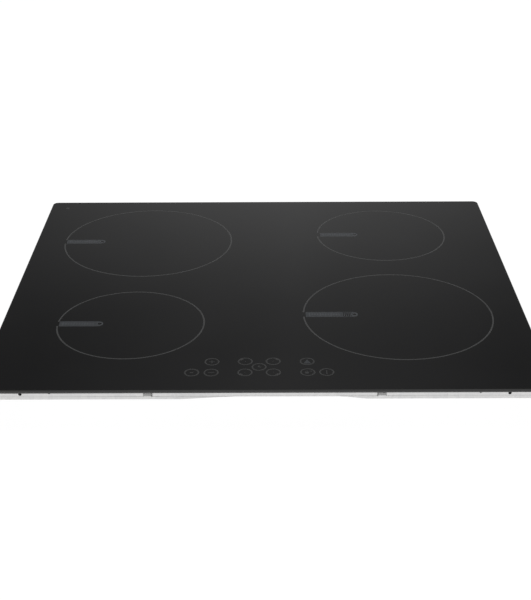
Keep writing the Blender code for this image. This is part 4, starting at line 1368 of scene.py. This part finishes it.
def make_fan_housing():
    """Blower housing, open to the front and with a round inlet below."""
    low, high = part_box("fan_housing")
    reach, wall = (high.x - low.x) / 2, 0.0015
    outline = arc(FAN_X, FAN_Y, reach, 0, 180, 40) + [(low.x, low.y), (high.x, low.y)]
    shell = Shape().prism(outline, low.z, high.z)
    housing = make_piece("blower_housing", shell, BLACK_PLASTIC, "fan_housing")
    inner = arc(FAN_X, FAN_Y, reach - wall, 0, 180, 40)
    inner += [(low.x + wall, low.y - wall), (high.x - wall, low.y - wall)]
    carve(housing, Shape().prism(inner, low.z + wall, high.z - wall))
    carve(housing, Shape().prism(circle(FAN_X, FAN_Y, 0.031, 64), low.z - wall, low.z + 2 * wall))


def make_impeller():
    """The rotor: a cupped hub, a web, curved blades and the ring that joins their tips."""
    low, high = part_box("fan_impeller")
    rim, hub, cup, web, bevel = (high.x - low.x) / 2, 0.0155, 0.0120, 0.0014, 0.0003
    profile = [
        (0.0010, cup),
        *arc(hub - 0.0015, cup + 0.0015, 0.0015, -90, 0, 5),
        *arc(hub + 0.0008, high.z - web - 0.0008, 0.0008, 180, 90, 4),
        (rim - bevel, high.z - web),
        (rim, high.z - web + bevel),
        (rim, high.z - bevel),
        (rim - bevel, high.z),
        (hub - 0.0020, high.z),
        (hub - 0.0020, cup + web),
        (0.0010, cup + web),
    ]
    core = Shape().turned(FAN_X, FAN_Y, profile, 96, ring=True)
    impeller = make_piece("bladed_impeller", core, BLACK_PLASTIC, "fan_impeller", "fan_rotor")
    count, root, tip, steps = 18, 0.0300, 0.0412, 8
    blades = Shape()
    for i in range(count):
        front, back = [], []
        for step in range(steps + 1):
            share = step / steps
            radius = root + (tip - root) * share
            sweep = math.radians(360 * i / count - 6.0 + 9.5 * share**1.8)
            thick = 0.0011 * (0.55 + 0.45 * math.sin(math.pi * share)) / 2 / radius
            for face, angle in ((front, sweep + thick), (back, sweep - thick)):
                face.append((FAN_X + radius * math.cos(angle), FAN_Y + radius * math.sin(angle)))
        blades.prism(back + front[::-1], low.z, high.z - web / 2)
    carve(impeller, blades, "UNION")
    section = oblong(tip - 0.0040, low.z, rim, low.z + 0.0012)
    carve(impeller, Shape().turned(FAN_X, FAN_Y, section, 96, ring=True), "UNION")


def make_motor():
    """The motor's can, in the hub of the rotor."""
    reach, bevel, bend = (MOTOR_HIGH.x - MOTOR_LOW.x) / 2, 0.0008, 0.0012
    profile = [(reach - bevel, MOTOR_LOW.z), (reach, MOTOR_LOW.z + bevel)]
    profile += arc(reach - bend, MOTOR_HIGH.z - bend, bend, 0, 90, 5)
    can = Shape().turned(FAN_X, FAN_Y, profile, 64)
    make_piece("motor_can", can, ZINC, "fan_motor")


def make_fan_trim():
    """Screws and stiffening ribs on top of the fan's housing."""
    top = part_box("fan_housing")[1].z
    sunk, crest = top - 0.0002, top + 0.0007
    ribs = Shape()
    section = ((0, sunk), (0.0012, sunk), (0.0010, crest), (0.0002, crest))
    for radius in (0.0150, 0.0270, 0.0390):
        ribs.turned(FAN_X, FAN_Y, [(radius + offset, z) for offset, z in section], 72, ring=True)
    for i in range(6):
        spoke = rotated(oblong(0.0155, -0.0006, 0.0395, 0.0006), FAN_X, FAN_Y, 60 * i + 30)
        ribs.prism(spoke, sunk, top + 0.0006)
    make_piece("fan_ribs", ribs, BLACK_PLASTIC)
    make_screws("fan_screws", star(rotated([(0.0445, 0.0)], 0, 0, 90), 3, FAN_X, FAN_Y), top, 1)


def make_key_pads():
    """Conductive rubber mat with a stud up to the glass under each key."""
    low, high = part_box("key_pads")
    mat_top, bend = low.z + 0.0008, 0.0006
    sheet = Shape().prism(rounded(plan(low, high), 0.002, 6), low.z, mat_top)
    mat = make_piece("key_mat", sheet, RUBBER, "key_pads")
    profile = [(0.0060, mat_top - 0.0004), *arc(0.0056, high.z - bend, bend, 0, 90, 4)]
    profile += [(0.0030, high.z), (0.0026, high.z - bend)]
    for start in (0, 1):  # neighbouring studs touch, so they are joined on in two lots
        studs = Shape()
        for x, y in list(KEYS.values())[start::2]:
            studs.turned(x, y, profile, 36)
        carve(mat, studs, "UNION")


def make_inside():
    make_terminals()
    for zone in ZONES:
        make_winding(zone)
    for hand, side in (("left", -1), ("right", 1)):
        make_transistors(hand, side)
        make_electrolytics(hand, side)
        make_relays(hand, side)
        make_transformer(hand, side)
        make_small_parts(hand, side)
        make_film_capacitors(hand)
    for zone in ZONES:
        make_mica(zone)
        make_carrier(zone)
        make_ferrites(zone)
        make_sensor(zone)
        make_spring(zone)
        make_lead(zone)
    make_choke()
    make_board_screws()
    make_ribbon()
    make_mains_leads()
    make_fan_housing()
    make_impeller()
    make_motor()
    make_fan_trim()
    make_key_pads()


# Glass and its print


class Print(Shape):
    """Flat marks of enamel on the glass."""

    def fill(self, outline):
        self.prism(outline, PRINT_LOW, PRINT_TOP)

    def bar(self, x, y, width, height):
        self.fill(rounded(centred(x, y, width, height), min(width, height) * 0.3, 3))

    def ring(self, x, y, radius, width, segments=48):
        section = oblong(radius - width / 2, PRINT_LOW, radius + width / 2, PRINT_TOP)
        self.turned(x, y, section, segments, ring=True)

    def arc(self, x, y, radius, width, start, end, steps):
        """A line of a given width along an arc, made of quads."""
        inner, outer = (arc(x, y, radius + offset, start, end, steps) for offset in (-width / 2, width / 2))
        outline = inner + outer[::-1]
        top, low = ([self.bm.verts.new((*point, z)) for point in outline] for z in (PRINT_TOP, PRINT_LOW))
        count, last = len(inner), len(outline) - 1
        for i in range(count - 1):
            j = last - i
            self.bm.faces.new((top[i], top[i + 1], top[j - 1], top[j]))
            self.bm.faces.new((low[i + 1], low[i], low[j], low[j - 1]))
            self.bm.faces.new((top[i + 1], top[i], low[i], low[i + 1]))
            self.bm.faces.new((top[j], top[j - 1], low[j - 1], low[j]))
        self.bm.faces.new((top[0], top[last], low[last], low[0]))
        self.bm.faces.new((top[count], top[count - 1], low[count - 1], low[count]))


def make_glass():
    low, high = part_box("glass_plate")
    top, arris = high.z - PRINT_HEIGHT, 0.0011
    section = arc(-arris, low.z + arris, arris, -90, 0, 5) + arc(-arris, top - arris, arris, 0, 90, 6)
    plate = Shape().swept(plan(low, high), 0.007, section, steps=14)
    plate.bm.normal_update()
    for face in plate.bm.faces:
        face.material_index = 0 if abs(face.normal.z) > 0.999 else 1
    glass = make_piece("glass_top", plate, GLASS, "glass_plate", angle=40)
    glass.data.materials.append(EDGE)


def make_zone_print(name):
    """A zone's ring, open beside its bar, and the bar with a dot and plain ticks."""
    x, y, radius = RINGS[name]
    gap = math.degrees(RING_GAP / radius)
    ring = Print()
    ring.arc(x, y, radius, RING_LINE, -180 + gap, 180 - gap, 180)
    make_piece(f"zone_ring_{name}", ring, LINE_PRINT)

    left, right = BARS[name]
    half, corner = BAR_HEIGHT / 2, 0.0008
    dot = right - 0.0040
    window = name == "front_right"
    outline = [(left + corner, y + half), (left, y + half - corner)]
    outline += [(left, y - half + corner), (left + corner, y - half)]
    outline += arc(right - half, y, half, -90, 90, 20)
    holes = [circle(dot, y, DOT_RADIUS, 24)]
    if window:
        inner = half - BAR_BORDER
        holes.append(rounded((right - 0.0168, y - inner, right - 0.0077, y + inner), 0.0006, 3))
    bar = Shape().plate(outline, holes, PRINT_LOW, PRINT_TOP - BAR_STEP)
    make_piece(f"zone_bar_{name}", bar, BAR_PRINT)

    scale = Print()
    scale.ring(dot, y, DOT_RADIUS + BAR_BORDER / 2, BAR_BORDER, 32)
    first, pitch, tick, short, tall = left + 0.0042, 0.0030, 0.0013, 0.0040, 0.0064
    length = right - left - (0.0240 if window else 0.0140)
    for i in range(int(length / pitch) + 1):
        scale.bar(first + i * pitch, y, tick, short if i % 4 else tall)
    if window:
        for i in range(4):
            scale.bar(right - 0.0154 + i * 0.0022, y, 0.0006, BAR_HEIGHT - 2 * BAR_BORDER - 0.0010)
    make_piece(f"zone_scale_{name}", scale, TICK_PRINT)


def plus_mark(key, x, y):
    reach, half = 0.0029, 0.0005
    key.fill(star(((-half, -reach), (half, -reach), (half, -half)), 4, x, y))


def zone_mark(side, row):
    """A thick stroke inside the key's ring, at its zone's corner, and a faint dot in the middle."""

    def mark(key, x, y):
        middle = math.degrees(math.atan2(row, side))
        key.arc(x, y, KEY_RADIUS - 0.0016, 0.0017, middle - 21, middle + 21, 12)
        key.fill(circle(x, y, 0.0005, 12))

    return mark


def bar_mark(width, height):
    return lambda key, x, y: key.bar(x, y, width, height)


def clock_mark(key, x, y):
    key.bar(x - 0.0002, y + 0.0014, 0.0013, 0.0036)
    key.bar(x + 0.0013, y, 0.0016, 0.0013)


def lock_mark(key, x, y):
    """A padlock with its shackle, and a short dash for its timer."""
    key.bar(x - 0.0010, y - 0.0012, 0.0038, 0.0038)
    key.arc(x - 0.0010, y + 0.0010, 0.0013, 0.0008, 0, 180, 14)
    key.bar(x + 0.0032, y + 0.0018, 0.0024, 0.0012)


KEY_MARKS = {
    "timer": bar_mark(0.0036, 0.0015),
    "minus": bar_mark(0.0064, 0.0010),
    "plus": plus_mark,
    "select_rear_left": zone_mark(-1, 1),
    "select_front_left": zone_mark(-1, -1),
    "select_rear_right": zone_mark(1, 1),
    "select_front_right": zone_mark(1, -1),
    "clock": clock_mark,
    "lock": lock_mark,
    "power": bar_mark(0.0010, 0.0076),
}


def make_keys():
    """Each touch key's ring and mark. The boost key's mark is a filled triangle in the bars' enamel."""
    for name, (x, y) in KEYS.items():
        key = Print()
        key.ring(x, y, KEY_RADIUS, KEY_LINE)
        if name in KEY_MARKS:
            KEY_MARKS[name](key, x, y)
        make_piece(f"key_print_{name}", key, KEY_PRINT)
    x, y = KEYS["boost"]
    triangle = Print()
    triangle.fill([(x - 0.0040, y - 0.0046), (x + 0.0040, y - 0.0046), (x, y + 0.0044)])
    make_piece("key_fill_boost", triangle, BAR_PRINT)


def make_corner_mark():
    """Small round mark near the rear left corner."""
    low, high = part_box("glass_plate")
    x, y = low.x + 0.0222, high.y - 0.0220
    mark = Print()
    mark.ring(x, y, 0.0020, 0.0008, 28)
    mark.fill(circle(x, y, 0.0008, 16))
    make_piece("corner_mark", mark, LINE_PRINT)


# Stage, light and camera

# Brightness by the sine of the elevation, then by the direction across and along the cooktop, -1..1 as 0..1
WORLD_HEIGHTS = (
    (0.0, 1.0),
    (0.06, 0.98),
    (0.15, 0.74),
    (0.26, 0.52),
    (0.36, 0.38),
    (0.44, 0.222),
    (0.474, 0.188),
    (0.51, 0.225),
    (0.75, 0.40),
    (1.0, 0.45),
)
WORLD_ACROSS = (
    (0.0, 0.45),
    (0.405, 0.50),
    (0.44, 0.70),
    (0.47, 0.86),
    (0.51, 1.0),
    (0.56, 0.80),
    (0.60, 0.56),
    (1.0, 0.45),
)
WORLD_ALONG = ((0.0, 1.15), (0.35, 1.15), (0.55, 1.0), (1.0, 1.0))


def make_floor():
    half, gap = 30.0, 0.0005
    surface = Surface("pale_floor", roughness=0.9)
    surface.inputs["Base Color"].default_value = (0.10, 0.10, 0.10, 1.0)
    surface.inputs["Specular IOR Level"].default_value = 0.0
    surface.inputs["Emission Color"].default_value = (1.0, 1.0, 1.0, 1.0)
    surface.inputs["Emission Strength"].default_value = 0.96
    sheet = Shape()
    corners = at_height(oblong(-half, -half, half, half), CAD_BOX[0].z - gap)
    sheet.bm.faces.new([sheet.bm.verts.new(corner) for corner in corners])
    floor = add_object("floor", sheet.to_mesh("floor", [surface.material]))


def grey_ramp(tree, share, stops):
    return add_ramp(tree, share, [(position, grey(value)) for position, value in stops])


def make_world():
    """White at the horizon, falling to grey overhead, so that the glass shows a soft gradient."""
    world = bpy.data.worlds.new("studio")
    world.use_nodes = True
    tree = world.node_tree
    coords = tree.nodes.new("ShaderNodeTexCoord").outputs["Generated"]
    split = add_node(tree, "SeparateXYZ", {0: coords}).outputs
    strength = grey_ramp(tree, split["Z"], WORLD_HEIGHTS)
    # The horizon stays white all round
    lifted = add_node(tree, "MapRange", {"Value": split["Z"], "From Min": 0.10, "From Max": 0.30})
    for axis, stops in (("X", WORLD_ACROSS), ("Y", WORLD_ALONG)):
        shift = add_node(tree, "MapRange", {"Value": split[axis], "From Min": -1.0})
        side = grey_ramp(tree, shift.outputs["Result"], stops)
        inputs = {"Factor": lifted.outputs["Result"], 6: strength, 7: side}
        strength = add_node(tree, "Mix", inputs, data_type="RGBA", blend_type="MULTIPLY").outputs[2]
    tree.links.new(strength, tree.nodes["Background"].inputs["Color"])
    bpy.context.scene.world = world


def add_area_light(name, place, target, size, power):
    light = bpy.data.lights.new(name, "AREA")
    light.shape = "RECTANGLE"
    light.size, light.size_y = size
    light.energy = power
    lamp = add_object(name, light)
    lamp.location = place
    lamp.rotation_euler = (Vector(target) - Vector(place)).to_track_quat("-Z", "Y").to_euler()
    lamp.visible_glossy = False


def make_lights():
    add_area_light("overhead", (0.0, 0.2, 2.4), (0.0, 0.0, 0.0), (3.0, 3.0), 45.0)
    add_area_light("front_fill", (0.0, -2.6, 0.35), (0.0, 0.0, 0.05), (3.0, 0.6), 12.0)


def make_camera():
    """Camera in front of the cooktop, looking down at it, tilted by a hair."""
    camera = bpy.data.cameras.new("camera")
    camera.lens = 72.86
    camera.sensor_width = 36.0
    camera.clip_end = 100.0
    eye = add_object("camera", camera)
    place = Vector((0.0043, -1.3010, CAD_BOX[1].z + 0.6080))
    pitch, roll, yaw = (math.radians(angle) for angle in (25.97, -0.267, -0.172))
    forward = Vector((math.sin(yaw) * math.cos(pitch), math.cos(yaw) * math.cos(pitch), -math.sin(pitch)))
    level = Vector((math.cos(yaw), -math.sin(yaw), 0.0))
    right = level * math.cos(roll) + level.cross(forward) * math.sin(roll)
    rotation = Matrix((right, right.cross(forward), -forward)).transposed()
    eye.matrix_world = Matrix.Translation(place) @ rotation.to_4x4()
    bpy.context.scene.camera = eye


make_camera()
bpy.context.scene.view_settings.view_transform = "Standard"
dress_frame()
make_glass()
make_seal()
make_rim()
make_tray()
make_flange_screws()
make_rating_plate()
make_cover()
make_bush()
make_clips()
make_inside()
for zone in ZONES:
    make_zone_print(zone)
make_keys()
make_corner_mark()
make_floor()
make_world()
make_lights()
settle_normals()
press_springs()
